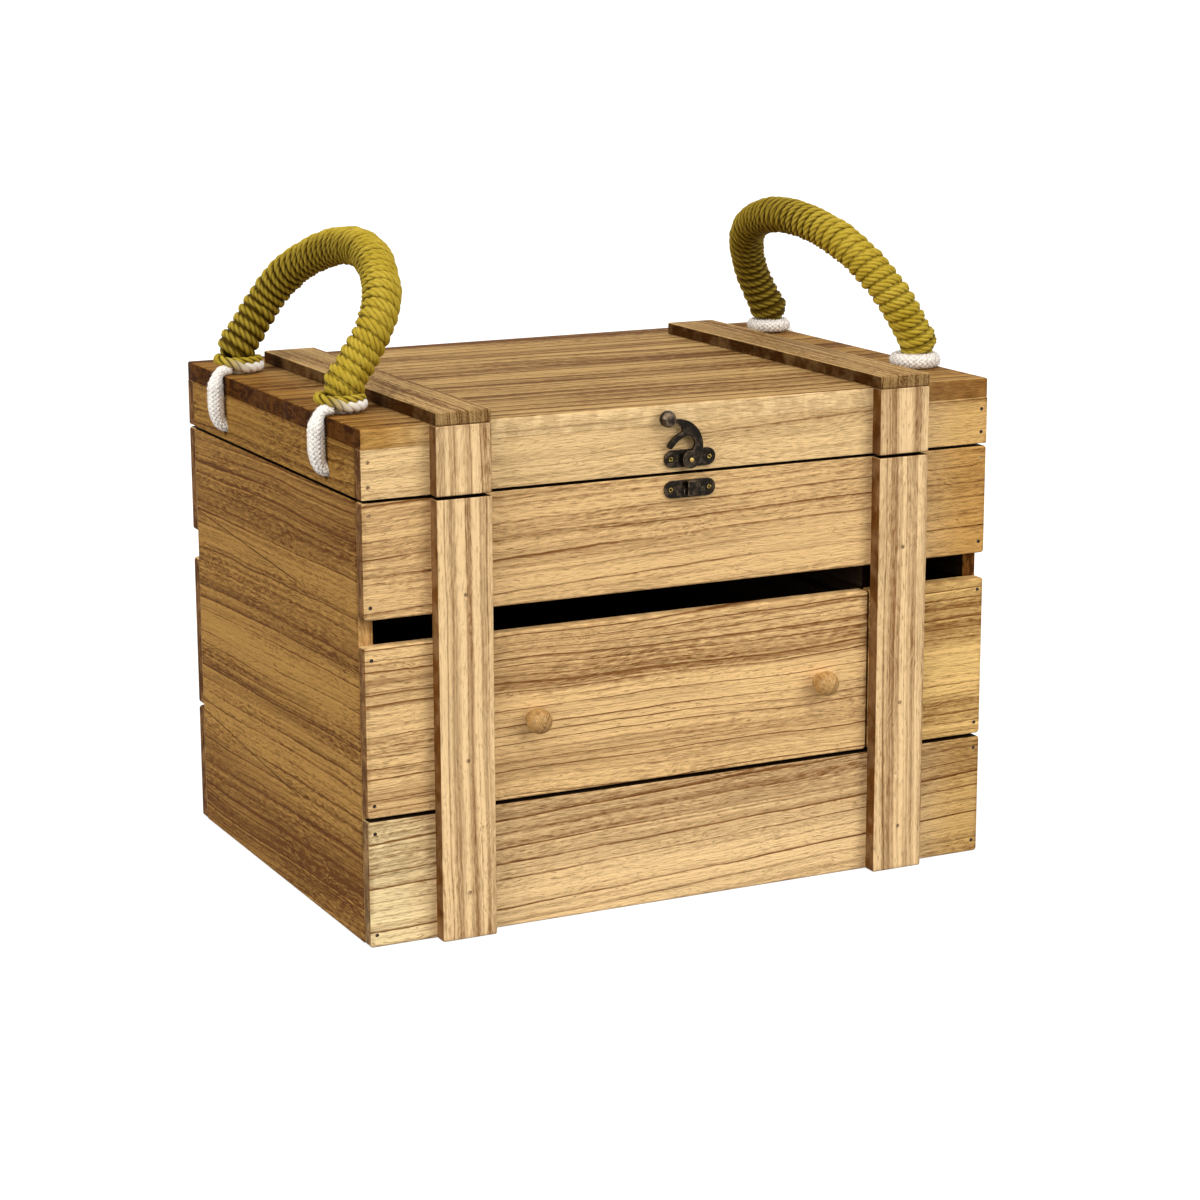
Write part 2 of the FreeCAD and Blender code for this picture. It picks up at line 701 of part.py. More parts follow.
levels, rear_levels = case_boards()
case_inside()
case_nails(levels, rear_levels)
drawer()
knobs()
lid_boards()
latch()
catch()
hinges()
rope_handles()

os.makedirs("parts", exist_ok=True)
for name, shape in parts.items():
    shape.exportStep("parts/%s.step" % name)
    print("%-24s %2d solids %10.1f mm3 valid %s" % (name, len(shape.Solids), shape.Volume,
                                                   shape.isValid()))
print(len(parts), "nodes")
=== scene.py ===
"""Slatted wooden chest: camera, light, procedural materials, and turned, cast and wound pieces."""
import bpy
import bmesh
import json
import random
from math import atan, atan2, cos, pi, radians, sin, sqrt
from mathutils import Matrix, Vector, noise


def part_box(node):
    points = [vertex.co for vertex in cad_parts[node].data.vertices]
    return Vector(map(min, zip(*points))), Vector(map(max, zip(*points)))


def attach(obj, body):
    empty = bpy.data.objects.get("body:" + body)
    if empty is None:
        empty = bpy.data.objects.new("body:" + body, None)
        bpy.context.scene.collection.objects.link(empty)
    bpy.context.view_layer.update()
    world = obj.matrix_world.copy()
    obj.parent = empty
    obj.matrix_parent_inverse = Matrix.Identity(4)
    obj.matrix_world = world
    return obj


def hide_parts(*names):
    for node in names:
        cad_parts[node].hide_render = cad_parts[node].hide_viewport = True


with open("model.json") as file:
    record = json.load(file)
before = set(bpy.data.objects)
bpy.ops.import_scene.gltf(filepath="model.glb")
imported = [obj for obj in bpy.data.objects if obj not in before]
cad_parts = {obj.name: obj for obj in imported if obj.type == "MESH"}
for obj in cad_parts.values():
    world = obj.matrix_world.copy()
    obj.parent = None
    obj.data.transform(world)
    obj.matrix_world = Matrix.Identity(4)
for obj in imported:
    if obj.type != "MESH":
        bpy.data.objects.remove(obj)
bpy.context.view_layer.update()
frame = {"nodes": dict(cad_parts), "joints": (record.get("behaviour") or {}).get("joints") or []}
nodes = frame["nodes"]
scene = bpy.context.scene
MM = 0.001
TAU = 2 * pi

# The photograph's camera: degrees, metres and millimetres
CAMERA_ANGLES = (-26.2281, 12.8471, -0.2057)      # azimuth, elevation, roll
CAMERA_PLACE = (-0.78662, -1.62407, 0.56073)
CAMERA_LENS = 90.106

# Sizes that the chest's frame has, in metres
END_FACE = 0.200                     # of the lid
FRONT_FACE = -0.143                  # of the drawer's board
GRIP_RADIUS = 0.0113                 # of a handle with its cord
INSIDE = (0.1913, 0.1343, 0.2812)    # half width, half depth and top of the inside, which is painted in shade
SEAMS = ((0.0730, 0.0004), (0.25275, 0.0009))    # height and half gap: over the lowest slat, under the lid; the faces in these gaps are painted in shade
# Each handle: where it stands, its shape, its lean in degrees, how its feet are drawn in, and how much painted
# shade darkens the cord on the hand's side and towards the back
HANDLES = {
    "left": {"side": -1, "x": -0.1865, "feet": (-0.0813, 0.0856), "lean": 34.7, "leg": 0.0235,
             "corner": 0.0400, "rise": 0.0770, "wear_and_painted_light": (0.30, 0.14),
             "nudge": ((0.0034, 0.0, -0.0010), (0.0004, 0.0, -0.0006))},
    "right": {"side": 1, "x": 0.1850, "feet": (-0.0855, 0.0952), "lean": 30.0, "leg": 0.0090,
              "corner": 0.0633, "rise": 0.0780, "wear_and_painted_light": (0.12, 0.44),
              "nudge": ((0.0006, 0.0, -0.0006), (-0.0010, 0.0, -0.0006))},
}


# ---------------- camera, light and floor

def placed(name, data):
    made = bpy.data.objects.new(name, data)
    scene.collection.objects.link(made)
    return made


def make_camera():
    azimuth, elevation, roll = (radians(a) for a in CAMERA_ANGLES)
    back = Vector((sin(azimuth) * cos(elevation),
                   -cos(azimuth) * cos(elevation), sin(elevation)))
    level = Vector((cos(azimuth), sin(azimuth), 0))
    above = level.cross(-back)
    right = level * cos(roll) + above * sin(roll)
    up = above * cos(roll) - level * sin(roll)
    data = bpy.data.cameras.new("camera")
    data.sensor_width = 36
    data.lens = CAMERA_LENS
    data.clip_start, data.clip_end = 0.05, 200
    camera = placed("camera", data)
    turn = Matrix((right, up, back)).transposed().to_4x4()
    camera.matrix_world = Matrix.Translation(CAMERA_PLACE) @ turn
    scene.camera = camera


def sun(name, toward, strength, angle):
    """A distant lamp. toward points from the chest to it; strength 1 lights a facing surface fully."""
    data = bpy.data.lights.new(name, "SUN")
    data.energy = strength * pi
    data.angle = radians(angle)
    lamp = placed(name, data)
    lamp.rotation_mode = "QUATERNION"
    lamp.rotation_quaternion = Vector(toward).to_track_quat("Z", "Y")


class Graph:
    """Short calls that build a node tree. An argument is a number, a colour or another node's socket."""

    def __init__(self, tree):
        self.tree = tree

    def node(self, kind, **settings):
        made = self.tree.nodes.new(kind)
        for key, value in settings.items():
            setattr(made, key, value)
        return made

    def put(self, socket, value):
        if isinstance(value, bpy.types.NodeSocket):
            self.tree.links.new(value, socket)
        elif value is not None:
            socket.default_value = value

    def fill(self, node, *values, **named):
        """Put values into a node's inputs, in order or by name, where _ stands for a space."""
        for socket, value in zip(node.inputs, values):
            self.put(socket, value)
        for name, value in named.items():
            self.put(node.inputs[name.replace("_", " ")], value)
        return node

    def math(self, kind, a, b=None, c=None, clamp=False):
        made = self.node("ShaderNodeMath", operation=kind, use_clamp=clamp)
        return self.fill(made, a, b, c).outputs[0]

    def add(self, a, b):
        return self.math("ADD", a, b)

    def sub(self, a, b):
        return self.math("SUBTRACT", a, b)

    def mul(self, a, b):
        return self.math("MULTIPLY", a, b)

    def size(self, a):
        return self.math("ABSOLUTE", a)

    def vector(self, kind, a, b=None):
        made = self.fill(self.node("ShaderNodeVectorMath", operation=kind), a, b)
        return made.outputs["Value"] if kind in ("LENGTH", "DOT_PRODUCT") else made.outputs[0]

    def split(self, vector):
        return tuple(self.fill(self.node("ShaderNodeSeparateXYZ"), vector).outputs)

    def join(self, x, y, z):
        return self.fill(self.node("ShaderNodeCombineXYZ"), x, y, z).outputs[0]

    def mix(self, amount, a, b, mode="MIX"):
        made = self.node("ShaderNodeMix", data_type="RGBA", blend_type=mode)
        for i, value in ((0, amount), (6, a), (7, b)):       # a colour mix's own inputs
            self.put(made.inputs[i], value)
        return made.outputs[2]

    def dyed(self, colour, factor, amount=None):
        """The colour times a factor, wholly or by an amount."""
        whole = self.mix(1.0, colour, factor + (1,), "MULTIPLY")
        return whole if amount is None else self.mix(amount, colour, whole)

    def span(self, value, low, high, to_low=0.0, to_high=1.0, smooth=True):
        made = self.node("ShaderNodeMapRange",
                         interpolation_type="SMOOTHSTEP" if smooth else "LINEAR")
        return self.fill(made, value, low, high, to_low, to_high).outputs[0]

    def noise(self, vector, scale=1.0, detail=2.0, rough=0.5, bend=0.0):
        """scale is one number, or three where the pattern is stretched."""
        if isinstance(scale, tuple):
            vector, scale = self.vector("MULTIPLY", vector, scale), 1.0
        return self.fill(self.node("ShaderNodeTexNoise"), Vector=vector, Scale=scale, Detail=detail,
                         Roughness=rough, Distortion=bend).outputs[0]

    def swing(self, value, reach=0.2):
        """A noise value about its middle, stretched to run from -1 to 1."""
        return self.span(value, 0.5 - reach, 0.5 + reach, -1.0, 1.0, smooth=False)

    def bump(self, height, distance, strength):
        return self.fill(self.node("ShaderNodeBump"), Strength=strength, Distance=distance,
                         Height=height).outputs[0]


def grey(value):
    return (value, value, value, 1)


def shown(g):
    """1 for rays that see the backdrop: straight from the camera, mirrored or through glass."""
    path = g.node("ShaderNodeLightPath").outputs
    mirrored = g.math("MAXIMUM", path["Is Glossy Ray"], path["Is Transmission Ray"])
    return g.math("MAXIMUM", path["Is Camera Ray"], mirrored)


def light_scene():
    world = bpy.data.worlds.new("world")
    scene.world = world
    world.use_nodes = True
    g = Graph(world.node_tree)
    g.fill(world.node_tree.nodes["Background"], Color=(1, 1, 1, 1),
           Strength=g.span(shown(g), 0, 1, 0.50, 1.0, smooth=False))
    sun("key", (0.50, -0.80, 0.42), 0.40, 34)
    sun("top", (-0.10, -0.45, 0.90), 0.42, 50)
    sun("left", (-0.93, -0.22, 0.30), 0.66, 50)

    far, under = 60, -0.0002
    mesh = bpy.data.meshes.new("floor")
    mesh.from_pydata([(-far, -far, 0), (far, -far, 0), (far, far, 0), (-far, far, 0)], [], [(0, 1, 2, 3)])
    floor = placed("floor", mesh)
    floor.location.z = under
    material, g, shader = principled("floor")
    g.tree.nodes.remove(shader)
    dull = g.fill(g.node("ShaderNodeBsdfDiffuse"), Color=grey(0.20))
    shade = g.fill(g.node("ShaderNodeBsdfDiffuse"), Color=grey(0.42))
    glow = g.fill(g.node("ShaderNodeEmission"), Color=grey(0.74))
    both = g.fill(g.node("ShaderNodeAddShader"), shade.outputs[0], glow.outputs[0])
    choice = g.fill(g.node("ShaderNodeMixShader"), shown(g), dull.outputs[0], both.outputs[0])
    g.put(g.tree.nodes["Material Output"].inputs["Surface"], choice.outputs[0])
    mesh.materials.append(material)


# ---------------- wood

def wood_group():
    """Growth rings about a tree's axis, laid along the board, with brown bands, flecks and pores."""
    tree = bpy.data.node_groups.new("planed wood", "ShaderNodeTree")
    kinds = dict(Grain="Vector", Light="Color", Dark="Color", Color="Color")
    for way, names in (("INPUT", "Grain Spacing Wave Brown Lines Flecks Contrast Light Dark End Inside"),
                       ("OUTPUT", "Color Roughness Height")):
        for name in names.split():
            kind = "NodeSocket" + kinds.get(name, "Float")
            tree.interface.new_socket(name, in_out=way, socket_type=kind)
    g = Graph(tree)
    given = g.node("NodeGroupInput").outputs
    result = g.node("NodeGroupOutput").inputs
    grain = given["Grain"]
    x, y, z = g.split(grain)

    slow = g.mul(g.sub(g.noise(grain, (3.2, 11, 11)), 0.5), given["Wave"])
    quick = g.mul(g.sub(g.noise(grain, (26, 90, 90), detail=3), 0.5), 0.0022)
    radius = g.vector("LENGTH", g.join(0.0, y, z))
    radius = g.add(g.add(radius, slow), quick)
    turn = g.math("DIVIDE", radius, given["Spacing"])

    # Each ring darkens slowly to a line and ends sharply; rings and groups of rings differ
    ring = g.math("FRACT", turn)
    shade = g.add(g.math("POWER", g.span(ring, 0.76, 0.94), 2.0), g.mul(g.span(ring, 0.10, 0.95), 0.30))
    shade = g.mul(shade, g.span(ring, 0.94, 1.0, 1.0, 0.0))
    strength = g.noise(g.join(g.mul(g.math("FLOOR", turn), 3.7), 3.1, 0.0), detail=0)
    strength = g.span(strength, 0.34, 0.62, 0.16, 1.0)
    along = g.noise(g.join(x, turn, 0.0), (6.0, 1.3, 1.0))
    strength = g.mul(strength, g.span(along, 0.32, 0.6, 0.4, 1.0))
    shade = g.mul(g.mul(shade, strength), given["Lines"])
    band = g.swing(g.noise(g.join(x, turn, 7.7), (2.6, 0.43, 1.0)), 0.17)
    fine = g.swing(g.noise(g.join(x, radius, 1.3), (4.0, 620.0, 1.0), detail=3, rough=0.6))

    # Short fibres lie a little off the rings, by an amount that changes from place to place
    drift = g.mul(g.sub(g.noise(grain, (16, 60, 60), detail=1), 0.5), 0.016)
    bent = g.join(x, g.add(y, drift), g.add(z, drift))
    fibre = g.swing(g.noise(bent, (130, 860, 860), detail=3, rough=0.62))
    pore = g.span(g.noise(bent, (150, 1300, 1300), detail=1), 0.60, 0.74)
    patch = g.noise(grain, (9, 30, 30))
    fleck = g.mul(g.mul(fibre, g.span(patch, 0.35, 0.65, 0.35, 1.0)), given["Flecks"])

    amount = g.sub(given["Brown"], 0.08)
    for part, weight in ((band, 0.10), (shade, 0.64), (fine, 0.26), (fleck, 0.30),
                         (g.swing(patch), 0.06)):
        amount = g.math("MULTIPLY_ADD", part, weight, amount)
    amount = g.math("MULTIPLY_ADD", amount, given["Contrast"], 0.34, clamp=True)
    colour = g.mix(amount, given["Light"], given["Dark"])
    colour = g.dyed(colour, (0.50, 0.40, 0.30), g.mul(pore, g.span(band, -1, 1, 0.25, 0.75)))

    # Ends of the boards: dark swirls instead of lines
    burl = g.noise(grain, (60, 170, 50), detail=4, rough=0.62, bend=1.4)
    end = g.mix(g.span(burl, 0.40, 0.60), g.dyed(given["Light"], (0.32, 0.235, 0.18)),
                g.dyed(given["Dark"], (0.46, 0.44, 0.52)))
    colour = g.mix(given["End"], colour, end)
    # Painted shade inside the chest and in its seams
    colour = g.dyed(colour, (0.045, 0.040, 0.045), given["Inside"])
    g.put(result["Color"], colour)
    g.put(result["Roughness"], g.span(amount, 0, 1, 0.66, 0.52, smooth=False))
    height = g.sub(g.mul(fibre, 0.34), g.mul(pore, 0.55))
    height = g.sub(height, g.mul(shade, 0.35))
    height = g.math("MULTIPLY_ADD", fine, 0.22, height)
    g.put(result["Height"], height)
    return tree


WOOD = wood_group()
LIGHT_WOOD = (0.900, 0.614, 0.290, 1)
DARK_WOOD = (0.245, 0.106, 0.032, 1)
# Rows are the board's directions in the chest: along the grain, through the board, across it
ALONG_X = Matrix(((1, 0, 0), (0, 1, 0), (0, 0, 1)))       # slats
UPRIGHT = Matrix(((0, 0, 1), (0, 1, 0), (-1, 0, 0)))      # battens on the front
ALONG_Y = Matrix(((0, 1, 0), (-1, 0, 0), (0, 0, 1)))      # sides
FLAT_X = Matrix(((1, 0, 0), (0, 0, 1), (0, -1, 0)))       # lid and sheets
FLAT_Y = Matrix(((0, 1, 0), (0, 0, 1), (1, 0, 0)))        # battens on the lid


def principled(name):
    material = bpy.data.materials.new(name)
    material.use_nodes = True
    return material, Graph(material.node_tree), material.node_tree.nodes["Principled BSDF"]


def tinted(colour, tint):
    return tuple(c * t for c, t in zip(colour[:3], tint)) + (1,)


def growth(g, places, box, lay, depth, offset, spacing=7.5, wave=7.0, tilt=0.0, brown=0.0, zones=(),
           lines=1.0, flecks=1.0, contrast=1.0, tint=(1, 1, 1), seed=0, end=1.0, inside=0.0):
    """One board's grain. depth and offset are the middle of the rings behind the middle of the box, in
    millimetres. zones are (place across the board, browner or lighter), from low to high."""
    turn = Matrix.Rotation(radians(tilt), 3, "Y") @ lay
    middle = turn @ ((box[0] + box[1]) / 2)
    start = (seed * 1.37 + 0.6, depth * MM - middle.y, offset * MM - middle.z)
    grain = g.fill(g.node("ShaderNodeMapping"), Vector=places.outputs["Object"], Location=start,
                   Rotation=turn.to_euler()).outputs[0]

    # Browner and lighter zones across the board, bent by the same slow wave as the rings
    if zones:
        slow = g.noise(grain, (3.2, 11, 11))
        across = g.math("MULTIPLY_ADD", g.sub(slow, 0.5), wave * MM, g.split(grain)[2])
        reach = 1.15 * max(abs(place) for place, value in zones)
        ramp = g.node("ShaderNodeValToRGB")
        g.put(ramp.inputs[0], g.span(across, (offset - reach) * MM, (offset + reach) * MM, smooth=False))
        ramp.color_ramp.interpolation = "EASE"
        steps = ramp.color_ramp.elements
        while len(steps) < len(zones):
            steps.new(0.5)
        for step, (place, value) in zip(steps, zones):
            step.position = 0.5 + place / (2 * reach)
            step.color = grey(0.5 + value)
        brown = g.add(ramp.outputs[0], brown - 0.5)
    facing = g.vector("DOT_PRODUCT", places.outputs["Normal"], tuple(lay[0]))
    made = g.fill(g.node("ShaderNodeGroup", node_tree=WOOD), Grain=grain, Spacing=spacing * MM,
                  Wave=wave * MM, Brown=brown, Lines=lines, Flecks=flecks, Contrast=contrast,
                  Light=tinted(LIGHT_WOOD, tint), Dark=tinted(DARK_WOOD, tint),
                  End=g.span(g.size(facing), 0.62, 0.88, 0.0, end), Inside=inside)
    return made.outputs


def wood(node, lay=ALONG_X, east=None, west=None, front=None, outer=(), cracks=(), sides=1.0, burn=0.5,
         gloss=0.0, **grain):
    """A board's own wood. front is the grain that its front face shows instead, and outer this front's shades
    left and right of the battens. east and west shade the board there. cracks are dark lines (y, z, y, z) on an
    end board, sides darkens the side faces across the board, partly stain and partly painted shade, and burn
    the rims."""
    material, g, shader = principled("wood_" + node)
    low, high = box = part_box(node)
    places = g.node("ShaderNodeTexCoord")
    normal = places.outputs["Normal"]
    place = g.split(places.outputs["Object"])

    # Painted shade: dark inside the chest, and dark in its seams; only the slats have the lower one
    inside = g.math("LESS_THAN", place[2], INSIDE[2])
    for axis in (0, 1):
        inside = g.mul(inside, g.math("LESS_THAN", g.size(place[axis]), INSIDE[axis]))
    for seam, half in SEAMS[lay is not ALONG_X:]:
        near = g.size(g.sub(place[2], seam))
        inside = g.math("MAXIMUM", inside, g.math("LESS_THAN", near, half))

    made = growth(g, places, box, lay, inside=inside, **grain)
    colour = made["Color"]
    if front:
        ahead = g.span(g.vector("DOT_PRODUCT", normal, (0, -1, 0)), 0.6, 0.9)
        front = dict(front)
        strip = growth(g, places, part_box(front.pop("of")), **front)["Color"]
        for way, shade in zip((-1, 1), outer):
            strip = g.dyed(strip, shade, g.span(g.mul(place[0], way), 0.140, 0.150))
        colour = g.mix(ahead, colour, strip)
    for y_1, z_1, y_2, z_2 in cracks:
        level = g.math("MULTIPLY_ADD", g.sub(place[1], y_1), (z_2 - z_1) / (y_2 - y_1), z_1)
        away = g.size(g.sub(place[2], level))
        line = g.mul(g.span(away, 0.0002, 0.0006, 1.0, 0.0),
                     g.span(place[1], min(y_1, y_2), min(y_1, y_2) + 0.03))
        colour = g.dyed(colour, (0.30, 0.24, 0.20), line)

    # Rims browned by the flame; row 0 is the board's ends, row 2 its long edges
    uneven = g.span(g.noise(places.outputs["Object"], 110), 0.38, 0.62, 0.15, 1.0)
    for row, wide, most in ((0, 0.0034, 1.0), (2, 0.0019, 0.75)):
        axis = max(range(3), key=lambda i: abs(lay[row][i]))
        half = (high[axis] - low[axis]) / 2
        off = g.size(g.sub(place[axis], (high[axis] + low[axis]) / 2))
        edge = g.mul(g.span(off, half - wide, half - 0.0003, 0.0, most * burn), uneven)
        colour = g.dyed(colour, (0.42, 0.32, 0.24), edge)
    # The side faces across the board are darkened: partly stain, partly painted shade
    if sides < 1:
        stained_shaded_sides = g.span(g.size(g.vector("DOT_PRODUCT", normal, tuple(lay[2]))), 0.6, 0.9)
        cloud = g.noise(places.outputs["Object"], 70, detail=3)
        stained_shaded_sides = g.mul(stained_shaded_sides, g.span(cloud, 0.38, 0.62, 0.86, 1.0))
        colour = g.dyed(colour, (sides * 0.86, sides * 0.48, sides * 0.19), stained_shaded_sides)
    for way, shade in ((1, east), (-1, west)):
        if shade:
            colour = g.dyed(colour, shade, g.span(g.mul(place[0], way), 0.14, 0.19))
    g.fill(shader, Base_Color=colour, Roughness=made["Roughness"], Specular_IOR_Level=0.012,
           Coat_Weight=gloss, Coat_Roughness=0.28, Normal=g.bump(made["Height"], 0.0006, 0.9))
    return material


def spots(node):
    """Middles of a pair of round heads, left and right."""
    low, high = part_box(node)
    pair = ([], [])
    for vertex in nodes[node].data.vertices:
        pair[vertex.co.x > (low.x + high.x) / 2].append(vertex.co)
    return [((min(c.x for c in side) + max(c.x for c in side)) / 2,
             (min(c.z for c in side) + max(c.z for c in side)) / 2) for side in pair]


def dress(node, material):
    mesh = nodes[node].data
    mesh.materials.clear()
    mesh.materials.append(material)


APRON = dict(lay=ALONG_X, depth=20, offset=160, spacing=13, wave=10, tilt=1.3, brown=-0.12, lines=0.8,
             seed=6)
# sides: the battens' side faces are darkened, partly stain and partly painted shade
BATTEN = dict(lay=UPRIGHT, depth=8, wave=8, tilt=0.4, lines=0.6, flecks=0.8, contrast=1.3,
              tint=(1.07, 1.09, 1.19), sides=0.21, burn=0.35)
# The top battens' darker tint is painted shade on the top faces
TOP_BATTEN = dict(lay=FLAT_Y, depth=6, spacing=5.5, wave=7, tilt=0.4, brown=0.08, contrast=2.0,
                  tint=(0.65, 0.61, 0.52), sides=0.11, end=0.1, burn=0.4)
BOARDS = {
    "front_slat_upper": dict(
        depth=20, offset=210, spacing=9.5, wave=12, tilt=1.7, brown=-0.06,
        zones=((-30, -0.12), (-12, -0.04), (4, 0), (11, 0.16), (17, 0.02), (32, 0.04)), contrast=1.35,
        tint=(0.95, 0.9, 0.85), end=0.9, east=(0.76, 0.64, 0.42), seed=1),
    "drawer_front": dict(
        depth=30, offset=190, spacing=4.9, wave=28, tilt=1.4, brown=-0.1,
        zones=((-46, -0.02), (-36, 0.1), (-26, 0.2), (-15, -0.04), (-2, -0.12), (11, -0.08),
               (19, 0.34), (30, 0.2), (42, 0.1)), lines=1.3, contrast=1.35, tint=(0.99, 0.94, 0.88),
        seed=2),
    "front_slat_lower": dict(
        depth=25, offset=-200, spacing=8.5, wave=12, tilt=2.4, brown=-0.04,
        zones=((-36, -0.08), (-14, -0.14), (4, -0.06), (12, 0.12), (24, 0.2), (36, 0.12)), lines=1.2,
        contrast=1.3, tint=(1.04, 1.04, 1.07), end=0.9, west=(1.06, 1.2, 1.3), east=(0.74, 0.66, 0.48),
        seed=3),
    "front_stub_left": dict(
        depth=20, offset=180, spacing=6.0, wave=8, tilt=1.5, brown=-0.1,
        zones=((-46, 0.02), (-36, 0.22), (-24, 0), (-8, 0.2), (4, -0.08), (22, 0.16), (32, 0.18),
               (46, -0.06)), lines=1.3, contrast=1.35, tint=(1.0, 0.97, 0.93), end=0.9, seed=4),
    "front_stub_right": dict(
        depth=20, offset=-180, spacing=6.0, wave=8, tilt=0.5,
        zones=((-46, 0), (-30, 0.26), (-16, -0.12), (4, -0.12), (14, 0.3), (30, 0.22), (46, 0)),
        lines=1.2, contrast=1.3, tint=(1.04, 0.98, 0.76), seed=5),
    "lid_apron_front": dict(APRON, east=(0.86, 0.76, 0.56)),
    # The top's darker tint is painted shade; its front strip takes a lighter tint
    "lid_top_board": dict(
        lay=FLAT_X, depth=16, offset=-330, spacing=13, wave=26, tilt=1.0, brown=0.04,
        zones=((-136, 0.3), (-122, 0), (-102, -0.16), (-84, 0.2), (-66, -0.16), (-40, 0.02),
               (-22, 0.16), (2, -0.14), (28, 0.08), (56, -0.14), (88, 0.1), (125, -0.12)), lines=1.9,
        contrast=2.2, tint=(0.62, 0.57, 0.47), seed=7, west=(0.66, 0.52, 0.3), east=(0.84, 0.74, 0.57),
        front=dict(APRON, brown=-0.3, tint=(1.06, 1.1, 1.16), of="lid_apron_front"),
        outer=((0.92, 0.9, 0.84), (0.44, 0.33, 0.22))),
    # Its tint, about half the right panel's, is painted shade on this end; its front end keeps a lighter tint
    "side_panel_left": dict(
        lay=ALONG_Y, depth=30, offset=-300, wave=20, tilt=-1.6, brown=-0.02,
        zones=((-126, 0.2), (-95, 0.34), (-76, 0.2), (-52, -0.14), (-31, 0.06), (-17, 0.12),
               (6, -0.18), (32, 0.18), (55, 0.08), (73, -0.04), (87, 0.32), (109, 0.2)), lines=1.1,
        flecks=1.3, contrast=1.5, tint=(0.49, 0.39, 0.23), seed=8,
        front=dict(of="side_panel_left", lay=UPRIGHT, depth=8, offset=60, spacing=5, brown=-0.05,
                   tint=(0.95, 0.84, 0.66), seed=50),
        cracks=((0.135, 0.201, -0.06, 0.188), (0.143, 0.0735, -0.05, 0.058))),
    "side_panel_right": dict(
        lay=ALONG_Y, depth=30, offset=300, wave=16, tilt=-1.5, brown=0.02, flecks=1.3,
        contrast=1.5, tint=(0.95, 0.78, 0.44), seed=9),
    # Its tint, about half the right apron's, is painted shade on this end
    "lid_apron_left": dict(
        lay=ALONG_Y, depth=25, offset=150, spacing=8.5, wave=12, tilt=-1.2, brown=0.04,
        zones=((-20, -0.1), (-6, 0), (8, 0.1), (20, 0.24)), flecks=1.4, contrast=1.4,
        tint=(0.43, 0.335, 0.17), seed=10),
    "lid_apron_right": dict(
        lay=ALONG_Y, depth=25, offset=-150, spacing=8.5, wave=10, tilt=1.0, brown=0.02, flecks=1.3,
        contrast=1.4, tint=(0.9, 0.73, 0.4), seed=11),
    "lid_apron_back": dict(depth=20, offset=150, spacing=10, wave=8, tilt=-0.6, seed=12),
    "back_slat_upper": dict(
        depth=20, offset=-170, spacing=10, wave=9, tilt=-0.8,
        zones=((-30, 0), (-8, 0.16), (8, -0.12), (32, 0.1)), seed=13),
    "back_slat_middle": dict(
        depth=30, offset=150, spacing=7, wave=14, tilt=0.5,
        zones=((-46, 0.1), (-20, -0.14), (10, 0.18), (46, -0.06)), seed=14),
    "back_slat_lower": dict(
        depth=25, offset=190, spacing=10, wave=9, tilt=0.8,
        zones=((-36, 0.12), (0, -0.12), (36, 0.08)), seed=15),
    "front_batten_left": dict(
        BATTEN, offset=150, spacing=6.2, brown=-0.04, seed=16,
        zones=((-16, 0.04), (-12, 0.26), (-8, -0.3), (-3, 0.36), (1, -0.3), (6, 0.3), (10, -0.1),
               (16, -0.1))),
    "front_batten_right": dict(
        BATTEN, offset=-150, spacing=7.0, brown=-0.02, seed=17,
        zones=((-16, 0.24), (-11, -0.16), (-6, 0.24), (-1, -0.22), (5, 0.22), (16, -0.06))),
    "lid_batten_front_left": dict(
        BATTEN, offset=160, spacing=6.5, brown=-0.02, seed=18,
        zones=((-16, 0.26), (-12, 0.18), (-8, -0.26), (-3, 0.38), (2, -0.26), (6, 0.22), (10, -0.16),
               (16, 0.14))),
    "lid_batten_front_right": dict(
        BATTEN, offset=-160, spacing=7.0, brown=-0.04, seed=19,
        zones=((-16, -0.14), (-8, 0.22), (-2, -0.22), (7, 0.32), (12, 0), (16, 0.3))),
    "lid_batten_top_left": dict(TOP_BATTEN, offset=150, seed=20),
    "lid_batten_top_right": dict(TOP_BATTEN, offset=-150, seed=21),
}
# Plain boards of the inside, darkened by the painted shade inside the chest; the flat sheets have wider rings
INNER = (("bottom_panel", FLAT_X, 30), ("drawer_deck", FLAT_X, 60), ("shelf_panel", FLAT_X, -60),
         ("drawer_bottom", FLAT_X, -30), ("drawer_guide_left", ALONG_Y, -60),
         ("drawer_guide_right", ALONG_Y, 60), ("deck_cleat_left", ALONG_Y, -60),
         ("deck_cleat_right", ALONG_Y, 60), ("drawer_side_left", ALONG_Y, -80),
         ("drawer_side_right", ALONG_Y, 80), ("drawer_back", ALONG_X, -80))
for seed, (node, lay, offset) in enumerate(INNER, 22):
    rings = dict(spacing=10, wave=14) if lay is FLAT_X else {}
    BOARDS[node] = dict(lay=lay, depth=60, offset=offset, seed=seed, burn=0.0, **rings)


# ---------------- metals

